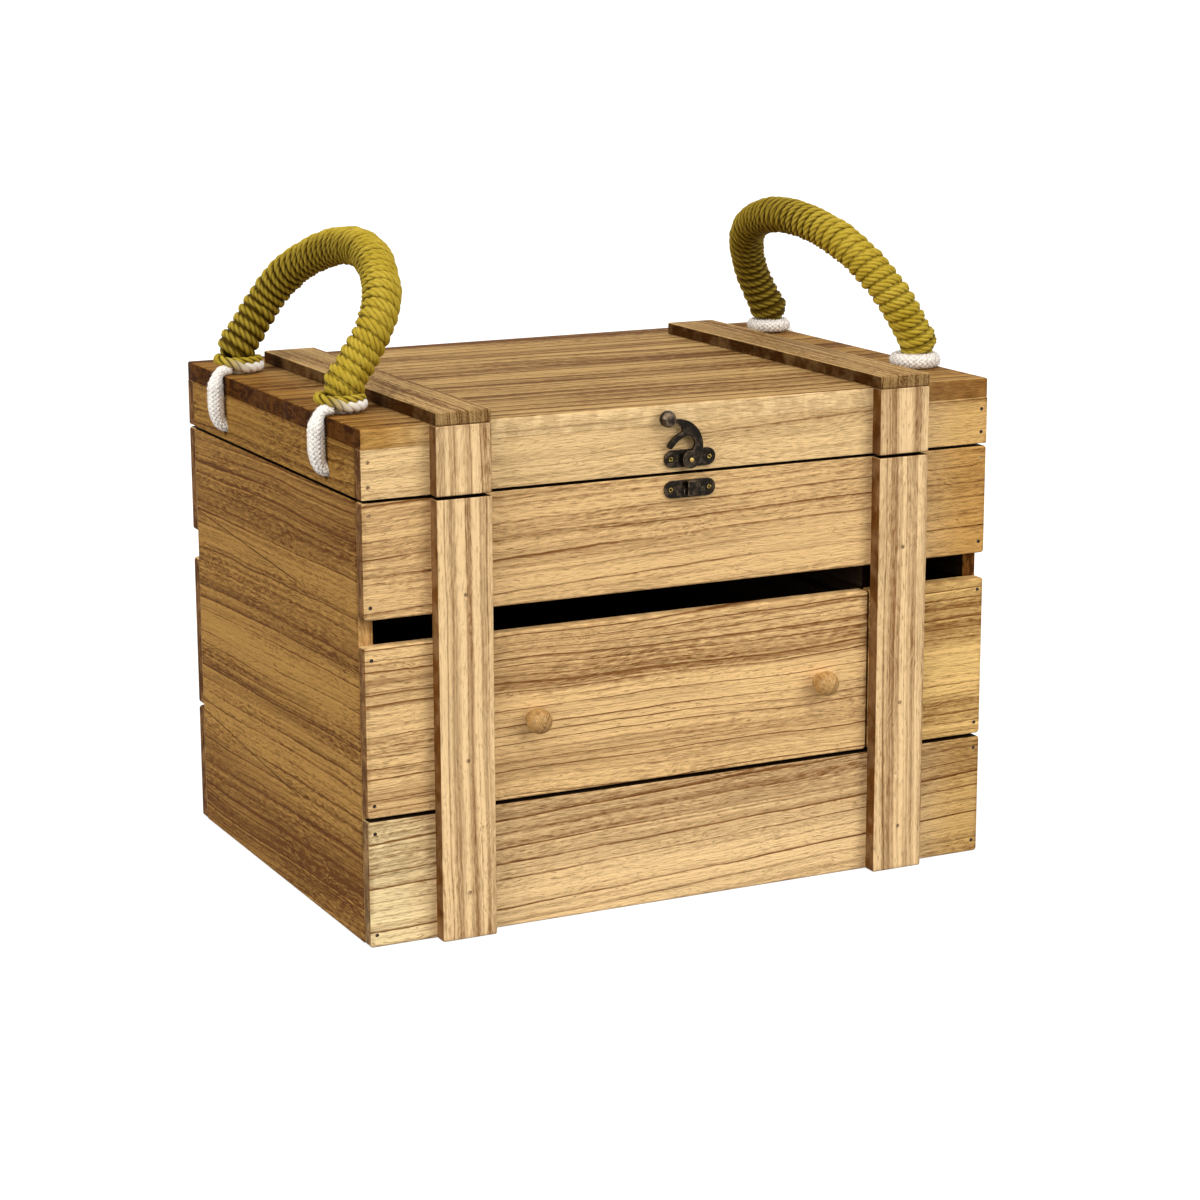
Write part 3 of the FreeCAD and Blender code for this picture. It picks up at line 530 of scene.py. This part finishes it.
def metal(name, base, wear_and_painted_light, roughness, metallic=1.0, edges=False, coat=0.0, heads=()):
    """Cast or rolled metal. heads are the middles of screw heads, dark but for a rubbed ring. edges lightens
    the rounded rims, partly wear and partly a painted highlight.
    """
    material, g, shader = principled(name)
    places = g.node("ShaderNodeTexCoord").outputs["Object"]
    cloud = g.noise(places, 260, detail=4, rough=0.6)
    speck = g.noise(places, 1500)
    amount = g.mul(g.span(cloud, 0.45, 0.72), 0.45)
    if edges:
        # Rims facing neither front nor back take the lighter colour: wear, and a painted highlight for their
        # reflections
        facing = g.size(g.split(g.node("ShaderNodeNewGeometry").outputs["Normal"])[1])
        rubbed_rim_highlight = g.mul(g.span(facing, 0.97, 0.80), g.span(facing, 0.20, 0.45))
        rubbed_rim_highlight = g.mul(rubbed_rim_highlight, g.span(cloud, 0.36, 0.56, 0.15, 1.0))
        amount = g.math("MAXIMUM", amount, rubbed_rim_highlight)
    colour = g.mix(amount, base, wear_and_painted_light)
    if heads:
        x, y, z = g.split(places)
        near = g.math("MINIMUM", *(g.vector("LENGTH", g.join(g.sub(x, head_x), 0.0, g.sub(z, head_z)))
                                   for head_x, head_z in heads))
        ring = g.mul(g.span(near, 0.0005, 0.0008), g.span(near, 0.00115, 0.0014, 1.0, 0.0))
        ring = g.mul(ring, g.span(g.noise(places, 900, detail=1), 0.42, 0.55, 0.25, 1.0))
        colour = g.mix(ring, (0.012, 0.009, 0.006, 1), colour)
    g.fill(shader, Base_Color=colour, Metallic=metallic, Specular_IOR_Level=0.15, Coat_Weight=coat,
           Coat_Roughness=0.22, Roughness=g.span(cloud, 0.3, 0.7, roughness - 0.08, roughness + 0.12),
           Normal=g.bump(g.add(g.mul(speck, 0.4), cloud), 0.00012, 0.5))
    return material


def nail_metal():
    """Dull steel, browned where a nail is sunk and filled."""
    material, g, shader = principled("nail_steel")
    places = g.node("ShaderNodeTexCoord").outputs["Object"]
    x, y, z = g.split(places)
    cloud = g.noise(places, (900, 900, 260))
    steel = g.mix(g.span(cloud, 0.4, 0.6), (0.020, 0.014, 0.010, 1), (0.07, 0.045, 0.03, 1))
    filled = g.mix(g.span(cloud, 0.46, 0.62), (0.44, 0.27, 0.12, 1), (0.16, 0.08, 0.03, 1))
    # The filled ones: in the battens, in a row of the upper front slat, and left in the lid
    battens = g.span(y, -0.1500, -0.1490, 1.0, 0.0)
    row = g.span(g.size(g.sub(z, 0.243)), 0.006, 0.008, 1.0, 0.0)
    row = g.mul(row, g.span(y, -0.1, -0.09, 1.0, 0.0))
    left = g.mul(g.math("GREATER_THAN", z, 0.2535), g.math("LESS_THAN", x, 0.0))
    hidden = g.math("MAXIMUM", g.math("MAXIMUM", battens, row), left)
    g.fill(shader, Base_Color=g.mix(hidden, steel, filled), Metallic=g.sub(0.6, g.mul(hidden, 0.6)),
           Roughness=g.span(cloud, 0.3, 0.7, 0.5, 0.7), Normal=g.bump(cloud, 0.0001, 0.5))
    return material


def new_object(name, mesh, body, material):
    made = placed(name, mesh)
    mesh.materials.clear()
    mesh.materials.append(material)
    mesh.polygons.foreach_set("use_smooth", [True] * len(mesh.polygons))
    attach(made, body)
    return made


def cast(node, body, material):
    """A cast piece with rounded rims, grown from the frame's own solid."""
    voxel, rounds = 0.00020, 12
    source = placed("source", nodes[node].data.copy())
    weld = source.modifiers.new("weld", "WELD")
    weld.merge_threshold = 0.00001
    remesh = source.modifiers.new("remesh", "REMESH")
    remesh.mode = "VOXEL"
    remesh.voxel_size = voxel
    smooth = source.modifiers.new("smooth", "SMOOTH")
    smooth.factor = 0.5
    smooth.iterations = rounds
    mesh = bpy.data.meshes.new_from_object(source.evaluated_get(bpy.context.evaluated_depsgraph_get()))
    bpy.data.objects.remove(source)
    made = new_object(node + "_cast", mesh, body, material)
    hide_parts(node)
    return made


# ---------------- rope and cord

def smooth_step(value):
    value = min(1.0, max(0.0, value))
    return value * value * (3 - 2 * value)


class Strands:
    """Round strands gathered in one mesh. Each point of the surface keeps its place along and around its
    strand, how deep it lies, which the yarn paints as shade, and how far it has faded from the first colour to
    the second."""

    def __init__(self, sides):
        self.sides = sides
        self.points, self.faces, self.place, self.depth, self.fade = [], [], [], [], []

    def add(self, sections):
        """sections: (centre, half_a, half_b, along, depth, fade); the half vectors span a section."""
        first = len(self.points)
        turns = [(cos(TAU * i / self.sides), sin(TAU * i / self.sides))
                 for i in range(self.sides)]
        shift = 0.013 * (first % 97)
        for centre, half_a, half_b, along, depth, fade in sections:
            for c, s in turns:
                self.points.append(centre + half_a * c + half_b * s)
                self.place.append((along + shift, c * 0.0015, s * 0.0015))
                self.depth.append(depth - 0.45 * c)
                self.fade.append(fade)
        n = self.sides
        for ring in range(len(sections) - 1):
            a = first + ring * n
            for i in range(n):
                j = (i + 1) % n
                self.faces.append((a + i, a + j, a + n + j, a + n + i))
        last = first + (len(sections) - 1) * n
        self.faces.append(tuple(first + i for i in reversed(range(n))))
        self.faces.append(tuple(last + i for i in range(n)))

    def finish(self, name, body, material):
        mesh = bpy.data.meshes.new(name)
        mesh.from_pydata(self.points, [], self.faces)
        mesh.update()
        place = mesh.attributes.new("place", "FLOAT_VECTOR", "POINT")
        place.data.foreach_set("vector", [v for p in self.place for v in p])
        for key, values in (("depth", self.depth), ("fade", self.fade)):
            mesh.attributes.new(key, "FLOAT", "POINT").data.foreach_set("value", values)
        return new_object(name, mesh, body, material)


def fibre_material(name, light, mid, deep, light_2, mid_2, deep_2, sheen, rough):
    """Twisted or braided yarn: fine fibres along each strand, painted shade deep down in the gaps of the
    strands, and a fade from one colour to the other."""
    material, g, shader = principled(name)

    def attribute(key, output):
        return g.node("ShaderNodeAttribute", attribute_name=key).outputs[output]

    x, y, z = g.split(attribute("place", "Vector"))
    lean = g.join(x, g.add(y, g.mul(x, 0.22)), z)
    yarn = g.noise(lean, (140, 2600, 2600), detail=3, rough=0.6)
    cloud = g.noise(g.node("ShaderNodeTexCoord").outputs["Object"], 90, detail=3)
    amount = g.add(g.mul(g.sub(yarn, 0.5), 1.5), g.mul(g.sub(cloud, 0.5), 0.9))
    amount = g.math("ADD", amount, 0.45, clamp=True)
    # Places that lie deep take the deep colour: painted crevice shade
    painted_crevice_shade = g.span(attribute("depth", "Fac"), -0.02, 0.72)
    one = g.mix(painted_crevice_shade, g.mix(amount, mid, light), deep)
    two = g.mix(painted_crevice_shade, g.mix(amount, mid_2, light_2), deep_2)
    g.fill(shader, Base_Color=g.mix(attribute("fade", "Fac"), one, two), Roughness=rough,
           Specular_IOR_Level=0.06, Sheen_Weight=sheen, Sheen_Roughness=0.5, Normal=g.bump(yarn, 0.00025, 0.9))
    return material


def handle_line(handle):
    """Pieces of a handle's centre line in its own plane, from the front foot: (kind, length, data)."""
    front, back = handle["feet"]
    half, leg, corner = (back - front) / 2, handle["leg"], handle["corner"]
    climb = handle["rise"] - leg
    crown = ((half - corner) ** 2 + climb ** 2 - corner ** 2) / (2 * (climb - corner))
    centre = handle["rise"] - crown
    turn = atan2(half - corner, leg - centre)
    bend = pi / 2 - turn
    return [
        ("line", leg, ((-half, 0), (0, 1))),
        ("arc", corner * bend, ((-half + corner, leg), corner, pi)),
        ("arc", crown * 2 * turn, ((0, centre), crown, pi / 2 + turn)),
        ("arc", corner * bend, ((half - corner, leg), corner, pi / 2 - turn)),
        ("line", leg, ((half, leg), (0, -1))),
    ]


class HandleCurve:
    """Point, direction, outward side and bend of a handle's centre line at a length from its front foot."""

    def __init__(self, handle, pivot):
        self.parts = handle_line(handle)
        self.length = sum(p[1] for p in self.parts)
        lean = radians(handle["lean"])
        self.pivot = Vector(pivot)
        self.y_axis = Vector((0, 1, 0))
        self.h_axis = Vector((-handle["side"] * sin(lean), 0, cos(lean)))
        self.side = self.y_axis.cross(self.h_axis)
        self.nudge = [Vector(v) for v in handle["nudge"]]

    def at(self, s):
        rest = min(max(s, 0.0), self.length)
        for kind, length, data in self.parts:
            if rest <= length or data is self.parts[-1][2]:
                break
            rest -= length
        if kind == "line":
            (u, h), (du, dh) = data
            u, h, bend = u + du * rest, h + dh * rest, 0.0
        else:
            (cu, ch), radius, start = data
            angle = start - rest / radius
            u, h = cu + radius * cos(angle), ch + radius * sin(angle)
            du, dh, bend = sin(angle), -cos(angle), 1 / radius
        extra = s - min(max(s, 0.0), self.length)
        point = self.pivot + self.y_axis * (u + du * extra) + self.h_axis * (h + dh * extra)
        for nudge, far in zip(self.nudge, (s, self.length - s)):
            point = point + nudge * smooth_step(1 - far / 0.085)
        ahead = self.y_axis * du + self.h_axis * dh
        return point, ahead, self.side.cross(ahead), bend


def wrapped_grip(name, body, handle, pivot, material, seed):
    """Four-ply cord wound closely round a handle and over its round ends."""
    curve = HandleCurve(handle, pivot)
    pitch, thick, ply, lay, step = 0.0061, 0.0054, 0.00152, 0.0160, 0.0012
    plies = 4
    centre_radius = GRIP_RADIUS - thick / 2
    ball = 0.0094
    cap = ball * 1.30
    outside = -1 if curve.at(curve.length / 2)[2].dot(curve.h_axis) < 0 else 1
    strands = Strands(8)
    rows = [[] for _ in range(plies)]
    shaded_filler = []
    q, travelled, phase = -cap, 0.0, 0.0
    angle = 0.4 * seed
    while q < curve.length + cap:
        beyond = max(0.0, -q, q - curve.length)
        polar = beyond / ball
        lift = (noise.noise(Vector((q * 55, seed * 3.7, 0.0)))
                + noise.noise(Vector((q * 170, seed * 1.7, 3.0))))
        inward = min(q, curve.length - q)
        swell = sqrt(max(0.0, ball ** 2 - inward ** 2)) if 0 < inward < ball else 0.0
        ring = (ball if polar else max(centre_radius, swell)) + 0.00045 * lift
        sign = -1 if q < 0 else 1
        s = q if polar == 0 else (0 if q < 0 else curve.length) + sign * ball * sin(polar)
        point, ahead, out, bend = curve.at(s)
        out = out * outside
        other = ahead.cross(out)
        round_ = out * cos(angle) + other * sin(angle)
        tangent = other * -cos(angle) + out * sin(angle)
        normal = round_ * cos(polar) + ahead * (sign * sin(polar) if polar else 0.0)
        across = tangent.cross(normal)
        reach = ring * cos(polar) ** 0.6
        stretch = 1 + bend * ring * cos(angle)
        centre = point + round_ * reach
        wide = (pitch / 2 * stretch - ply) * 1.04
        high = thick / 2 - ply
        # Painted shade on the cord's inner side, where the hand holds it, and towards its back end
        wear_and_painted_light = (handle["wear_and_painted_light"][0] * smooth_step((0.75 - cos(angle)) / 1.3)
                + handle["wear_and_painted_light"][1] * smooth_step((q / curve.length - 0.2) / 0.3))
        for k, row in enumerate(rows):
            a = phase + k * TAU / plies
            at = centre + across * (wide * sin(a)) + normal * (high * cos(a))
            # The inner parts of each ply are drawn deeper and so darker: painted crevice shade
            deep = 0.62 - 0.42 * cos(a) + wear_and_painted_light
            fold = ply * (1 + 0.26 * noise.noise(Vector((travelled * 210, k * 5.3, seed * 1.1))))
            row.append((at, normal * fold, across * (fold * (0.55 + 0.5 * stretch)), travelled, deep, 0.0))
        # A thin strand sunk in each valley of the winding, drawn deep and so dark: painted shade
        thin = 0.00095 + 0.00035 * noise.noise(Vector((q * 130, 4.4, seed * 1.9)))
        shaded_filler.append((centre + across * (pitch / 2 * stretch) + normal * (thick / 2 - 0.0026), normal * thin,
                        across * (thin * (0.5 + 0.5 * stretch)), travelled, 0.70 + wear_and_painted_light, 0.0))
        distance = max(reach, 0.002)
        turn = step / distance
        angle -= turn
        q += pitch * turn / TAU * (1 + 0.05 * noise.noise(Vector((q * 90, 1.7 * seed, 5.0))))
        travelled += step
        loose = 1 + 0.75 * noise.noise(Vector((q * 60, 9.1, seed * 2.3)))
        phase += TAU * step / lay * loose
    for row in rows + [shaded_filler]:
        strands.add(row)
    return strands.finish(name, body, material)


def core_tube(name, body, handle, pivot, material):
    """The rope inside a grip, seen only through the gaps of the winding; drawn deep, it takes the cord's
    darkest colour as painted shade.
    """
    curve = HandleCurve(handle, pivot)
    strands = Strands(12)
    rows = []
    count, radius = 60, 0.0066
    for i in range(count + 1):
        s = curve.length * i / count
        point, ahead, out, bend = curve.at(s)
        # Drawn deep: the cord's darkest colour, painted shade
        rows.append((point, out * radius, ahead.cross(out) * radius, s, 1.2, 0.0))
    strands.add(rows)
    return strands.finish(name, body, material)


def through(points, step):
    """A smooth line through points, as evenly spaced places."""
    dense = []
    ends = [points[0] * 2 - points[1]] + list(points) + [points[-1] * 2 - points[-2]]
    for a, b, c, d in zip(ends, ends[1:], ends[2:], ends[3:]):
        for i in range(24):
            t = i / 24
            dense.append(0.5 * ((2 * b) + (c - a) * t + (2 * a - 5 * b + 4 * c - d) * t * t
                                + (3 * b - a - 3 * c + d) * t ** 3))
    dense.append(points[-1])
    line, gone = [dense[0]], 0.0
    for a, b in zip(dense, dense[1:]):
        gap = (b - a).length
        while gap > 0 and gone + gap >= step:
            a = a.lerp(b, (step - gone) / gap)
            line.append(a)
            gap, gone = (b - a).length, 0.0
        gone += gap
    return line


def carried(line):
    """Direction and two cross directions at each place of a line, turned as little as possible."""
    frames = []
    up = Vector((0, 0, 1))
    for i, point in enumerate(line):
        ahead = (line[min(i + 1, len(line) - 1)] - line[max(i - 1, 0)]).normalized()
        if i == 0 and abs(ahead.dot(up)) > 0.9:
            up = Vector((0, 1, 0))
        up = (up - ahead * up.dot(ahead)).normalized()
        frames.append((point, ahead, up, ahead.cross(up)))
    return frames


def turned_pair(up, side, angle):
    c, s = cos(angle), sin(angle)
    return up * c + side * s, side * c - up * s


def braid(strands, line, radius_at, step, deep=0.45):
    """A round braid along a line: eight strands each way, over and under in turn; deep sets how much painted
    shade it takes.
    """
    frames = carried(line)
    each, lay, half, core = 8, 0.021, 0.00075, 0.0013
    for way in (1, -1):
        for k in range(each):
            rows = []
            for i, (point, ahead, up, side) in enumerate(frames):
                s = i * step
                radius = radius_at(s)
                turn = way * TAU * s / lay + TAU * k / each
                over = way * cos(TAU * each * s / lay)
                out, around = turned_pair(up, side, turn)
                along = (ahead + around * (way * TAU * radius / lay)).normalized()
                across = along.cross(out)
                width = 0.52 * TAU * radius / each * cos(atan(TAU * radius / lay))
                centre = point + out * (radius - 0.0008 + 0.00035 * over)
                # Strands passing under others are drawn deeper and so darker: painted shade
                rows.append((centre, out * half, across * width * 1.08, s, deep - 0.3 * over, 1.0))
            strands.add(rows)
    # The core inside the braid is drawn deep: painted shade
    strands.add([(point, up * (radius_at(i * step) - core), side * (radius_at(i * step) - core),
                  i * step, 0.8, 1.0) for i, (point, ahead, up, side) in enumerate(frames)])


def twist(strands, line, radius_at, step, fade_at):
    """A laid strand along a line; radius_at and fade_at give its radius and how white it is at a share of its
    length."""
    frames = carried(line)
    plies, lay, tip = 3, 0.0150, 0.06
    for k in range(plies):
        rows = []
        for i, (point, ahead, up, side) in enumerate(frames):
            share = i / (len(frames) - 1)
            radius = radius_at(share)
            ply = radius * (0.50 + 0.24 * fade_at(share))
            taper = smooth_step(min(share, 1 - share) / tip) * 0.5 + 0.5
            turn = TAU * (i * step / lay + k / plies)
            out, around = turned_pair(up, side, turn)
            rows.append((point + out * ((radius - ply) * taper), out * ply * taper, around * ply * taper * 1.06,
                         i * step, 0.40, fade_at(share)))
        strands.add(rows)


def hairs(strands, places, seed, length):
    """Fine loose fibres that stand off a white rope. places are (point, outward) pairs."""
    chance = random.Random(seed)
    for point, out in places:
        lean = Vector([chance.uniform(-1, 1) for _ in range(3)])
        heading = (out + lean * 0.9).normalized()
        curl = Vector([chance.uniform(-1, 1) for _ in range(3)]) * 0.7
        reach = length * chance.uniform(0.4, 1.0)
        at, rows = point.copy(), []
        for i in range(5):
            cross = heading.orthogonal().normalized()
            thin = 0.00009 * (1 - 0.17 * i)
            rows.append((at, cross * thin, heading.cross(cross) * thin, i * 0.001, 0.35, 1.0))
            heading = (heading + curl * 0.4).normalized()
            at = at + heading * (reach / 4)
        strands.add(rows)


def rope_end(handle_name, foot, material):
    """One end of a white rope: knot, through the lid's end, up its face and round the handle's foot."""
    handle = HANDLES[handle_name]
    side, x = handle["side"], handle["x"]
    y = handle["feet"][0 if foot == "front" else 1]
    tail_y = y + side * 0.010
    hole, step, loop = 0.2620, 0.0009, 0.0021

    def at(out, z):
        return Vector((side * (END_FACE + out), tail_y, z))

    def thick(s):
        return 0.0040 + 0.0009 * smooth_step((s - 0.018) / 0.012) - 0.0018 * smooth_step((s - 0.041) / 0.009)

    seed = 3 + (foot == "back") + 2 * (side > 0)
    strands = Strands(6)
    tail = [at(-0.016, hole), at(-0.006, hole), at(0.0010, hole + 0.0010), at(0.0040, hole + 0.0046),
            at(0.0052, hole + 0.0110), at(0.0054, 0.2800), at(0.0052, 0.2870), at(0.0034, 0.2932),
            at(0.0000, 0.2958), at(-0.0050, 0.2964)]
    turn = [side * pi / 2 + side * TAU * i / 16 for i in range(17)]
    major, minor, level = (0.0109, 0.0043, 0.2972) if side > 0 else (0.0086, 0.0025, 0.2951)
    if side > 0 and foot == "back":
        major, minor = 0.0097, 0.0040
    ring = [Vector((x + major * cos(a), y + major * sin(a), level)) for a in turn]
    knot = [Vector((side * 0.1805 + loop * sin(3 * t),
                    tail_y + loop * (sin(t) + 2 * sin(2 * t)),
                    hole + loop * (cos(t) - 2 * cos(2 * t))))
            for t in [TAU * i / 26 for i in range(27)]]

    line = through(tail, step)
    braid(strands, line, thick, step)
    # The ring round the foot is drawn deeper: more painted shade
    braid(strands, through(ring, step), lambda s: minor, step, deep=0.68)
    braid(strands, through(knot, step), lambda s: 0.0031, step)

    chance = random.Random(seed)
    places = []
    for _ in range(900 if side > 0 else 260):
        a, b = chance.uniform(0, TAU), chance.uniform(-0.7, 1.9) if side > 0 else chance.uniform(-1.3, 0.3)
        out = Vector((cos(a) * cos(b), sin(a) * cos(b), sin(b)))
        centre = Vector((x + major * cos(a), y + major * sin(a), level))
        places.append((centre + out * minor, out))
    for i, (point, ahead, up, across) in enumerate(carried(line)):
        for _ in range(7 if i > 18 else 0):
            out = turned_pair(up, across, chance.uniform(0, TAU))[0]
            places.append((point + out * (thick(i * step) - 0.0001), out))
    hairs(strands, places, seed + 20, 0.0014)
    made = strands.finish("rope_%s_%s" % (handle_name, foot), "lid", material)
    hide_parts("rope_end_%s_%s" % (handle_name, foot))


def foot_strand(handle_name, foot, material):
    """The cord's last two turns round a left foot; the lower one is olive in front and runs out into white
    at the inner side."""
    handle = HANDLES[handle_name]
    y = handle["feet"][0 if foot == "front" else 1]
    centre = Vector((handle["x"], y, 0))
    start, sweep, step = 150, 330, 0.0009        # degrees round the foot, and metres
    points = []
    for i in range(41):
        a = start + sweep * i / 40
        high = smooth_step(1 - max(0, a - 205) / 65)
        over = smooth_step(1 - abs(a - 214) / 45)
        ahead = smooth_step((a - 250) / 50)
        reach = 0.0124 + 0.0036 * over - 0.0008 * ahead
        angle = radians(a)
        level = 0.2970 + 0.0044 * high
        points.append(centre + Vector((reach * cos(angle), reach * sin(angle), level)))
    strands = Strands(8)

    def white(share):
        return smooth_step((start + sweep * share - 225) / 105)

    twist(strands, through(points, step), lambda share: 0.0031 + 0.0006 * white(share), step, white)
    ring = 0.0120
    upper = [centre + Vector((ring * cos(TAU * i / 24), ring * sin(TAU * i / 24), 0.3006))
             for i in range(25)]
    twist(strands, through(upper, step), lambda share: 0.0026, step, lambda share: 0.0)
    made = strands.finish("cord_%s_%s" % (handle_name, foot), "lid", material)


# ---------------- turned knobs

def turned(node, body, centre, profile, material):
    """A piece turned about Y. profile are (radius, distance out of the front) pairs in millimetres."""
    bm = bmesh.new()
    around = 56
    rings = []
    for r, d in profile:
        rings.append([bm.verts.new(centre + Vector((r * cos(TAU * i / around), -d,
                                                    r * sin(TAU * i / around))) * MM)
                      for i in range(around if r else 1)])
    for a, b in zip(rings, rings[1:]):
        for i in range(around):
            j = (i + 1) % around
            if len(a) == 1:
                bm.faces.new((a[0], b[j], b[i]))
            elif len(b) == 1:
                bm.faces.new((a[i], a[j], b[0]))
            else:
                bm.faces.new((a[i], a[j], b[j], b[i]))
    bmesh.ops.recalc_face_normals(bm, faces=bm.faces)
    mesh = bpy.data.meshes.new(node + "_turned")
    bm.to_mesh(mesh)
    bm.free()
    made = new_object(node + "_turned", mesh, body, material)
    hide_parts(node)
    return made


def turned_knob(node, material):
    """Ball knob with a waist, a flared foot and a small centre mark."""
    low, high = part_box(node)
    centre = Vector(((low.x + high.x) / 2, FRONT_FACE, (low.z + high.z) / 2))
    ball, stand = 7.3, 9.0
    profile = [(0.0, 0.02), (4.4, 0.02), (4.3, 0.5), (3.7, 1.1), (3.45, 1.9), (3.7, 2.6)]
    for i in range(15):
        a = radians(-56 + i * 9.6)
        profile.append((ball * cos(a), stand + ball * sin(a)))
    profile += [(0.95, stand + ball - 0.05), (0.75, stand + ball - 0.22), (0.0, stand + ball - 0.24)]
    turned(node, "drawer", centre, profile, material)


def round_rivet(node, material):
    """The hook's pivot: a shank under a small round head."""
    low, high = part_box(node)
    centre = Vector(((low.x + high.x) / 2, high.y, (low.z + high.z) / 2))
    deep = (high.y - low.y) / MM
    profile = [(0.0, 0.0), (0.8, 0.0), (0.8, deep - 1.5), (1.5, deep - 1.2)]
    profile += [(1.5 * cos(radians(a)), deep - 1.2 + 1.2 * sin(radians(a)))
                for a in (18, 36, 54, 72)]
    profile.append((0.0, deep))
    turned(node, "lid", centre, profile, material)


# ---------------- the chest

make_camera()
light_scene()
scene.view_settings.view_transform = "Standard"

for node, settings in BOARDS.items():
    dress(node, wood(node, **settings))

# The second colour is wear, and on the rims also a painted highlight
bronze = metal("clasp_bronze", (0.010, 0.007, 0.004, 1), (0.15, 0.105, 0.066, 1), 0.36, 0.7, edges=True,
               coat=0.05)
dull_bronze = metal("hinge_bronze", (0.035, 0.026, 0.018, 1), (0.13, 0.08, 0.04, 1), 0.45, 0.9)
brass = metal("clasp_brass", (0.50, 0.34, 0.10, 1), (0.02, 0.014, 0.01, 1), 0.30)
nail = nail_metal()
zinc = metal("zinc_steel", (0.55, 0.55, 0.53, 1), (0.35, 0.34, 0.32, 1), 0.35)

for node in nodes:
    if node.startswith("hinge_"):
        dress(node, dull_bronze)
    elif node.endswith("_nails"):
        dress(node, nail)
    elif node in ("latch_screws", "catch_screws"):
        dress(node, metal("clasp_" + node, (0.50, 0.36, 0.10, 1), (0.20, 0.13, 0.04, 1), 0.32,
                          heads=spots(node)))
    elif node == "knob_screws":
        dress(node, zinc)

for node, body in (("latch_hook", "hook"), ("latch_plate", "lid"), ("catch_plate", "case")):
    made = cast(node, body, bronze)

round_rivet("latch_pivot", brass)
for node, seed in (("knob_left", 40), ("knob_right", 41)):
    turned_knob(node, wood(node, lay=ALONG_Y, depth=16, offset=9, spacing=2.6, wave=2.0, brown=-0.08,
                           tint=(0.67, 0.57, 0.41), seed=seed, end=0.0, burn=0.0, gloss=0.35))

# Light, mid and deep colours of each yarn; the deep one is the painted shade of places that lie deep
OLIVE = ((0.58, 0.430, 0.060, 1), (0.32, 0.212, 0.006, 1), (0.066, 0.036, 0.001, 1))
WHITE = ((0.93, 0.88, 0.81, 1), (0.88, 0.82, 0.74, 1), (0.68, 0.60, 0.51, 1))
cord = fibre_material("twisted_cord", *OLIVE, *WHITE, sheen=0.0, rough=0.60)
cotton = fibre_material("cotton_rope", *WHITE, *WHITE, sheen=0.25, rough=0.82)

pivots = {j["child"]: j["pos_m"] for j in frame["joints"] if j["child"].endswith("_handle")}
for name, seed in (("left", 1), ("right", 2)):
    handle, body = HANDLES[name], name + "_handle"
    grip = wrapped_grip("wrap_" + name, body, handle, pivots[body], cord, seed)
    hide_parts("grip_" + name)
    inner = core_tube("core_" + name, body, handle, pivots[body], cord)
    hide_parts("rope_core_" + name)
    for foot in ("front", "back"):
        rope_end(name, foot, cotton)
        if name == "left":
            foot_strand(name, foot, cord)
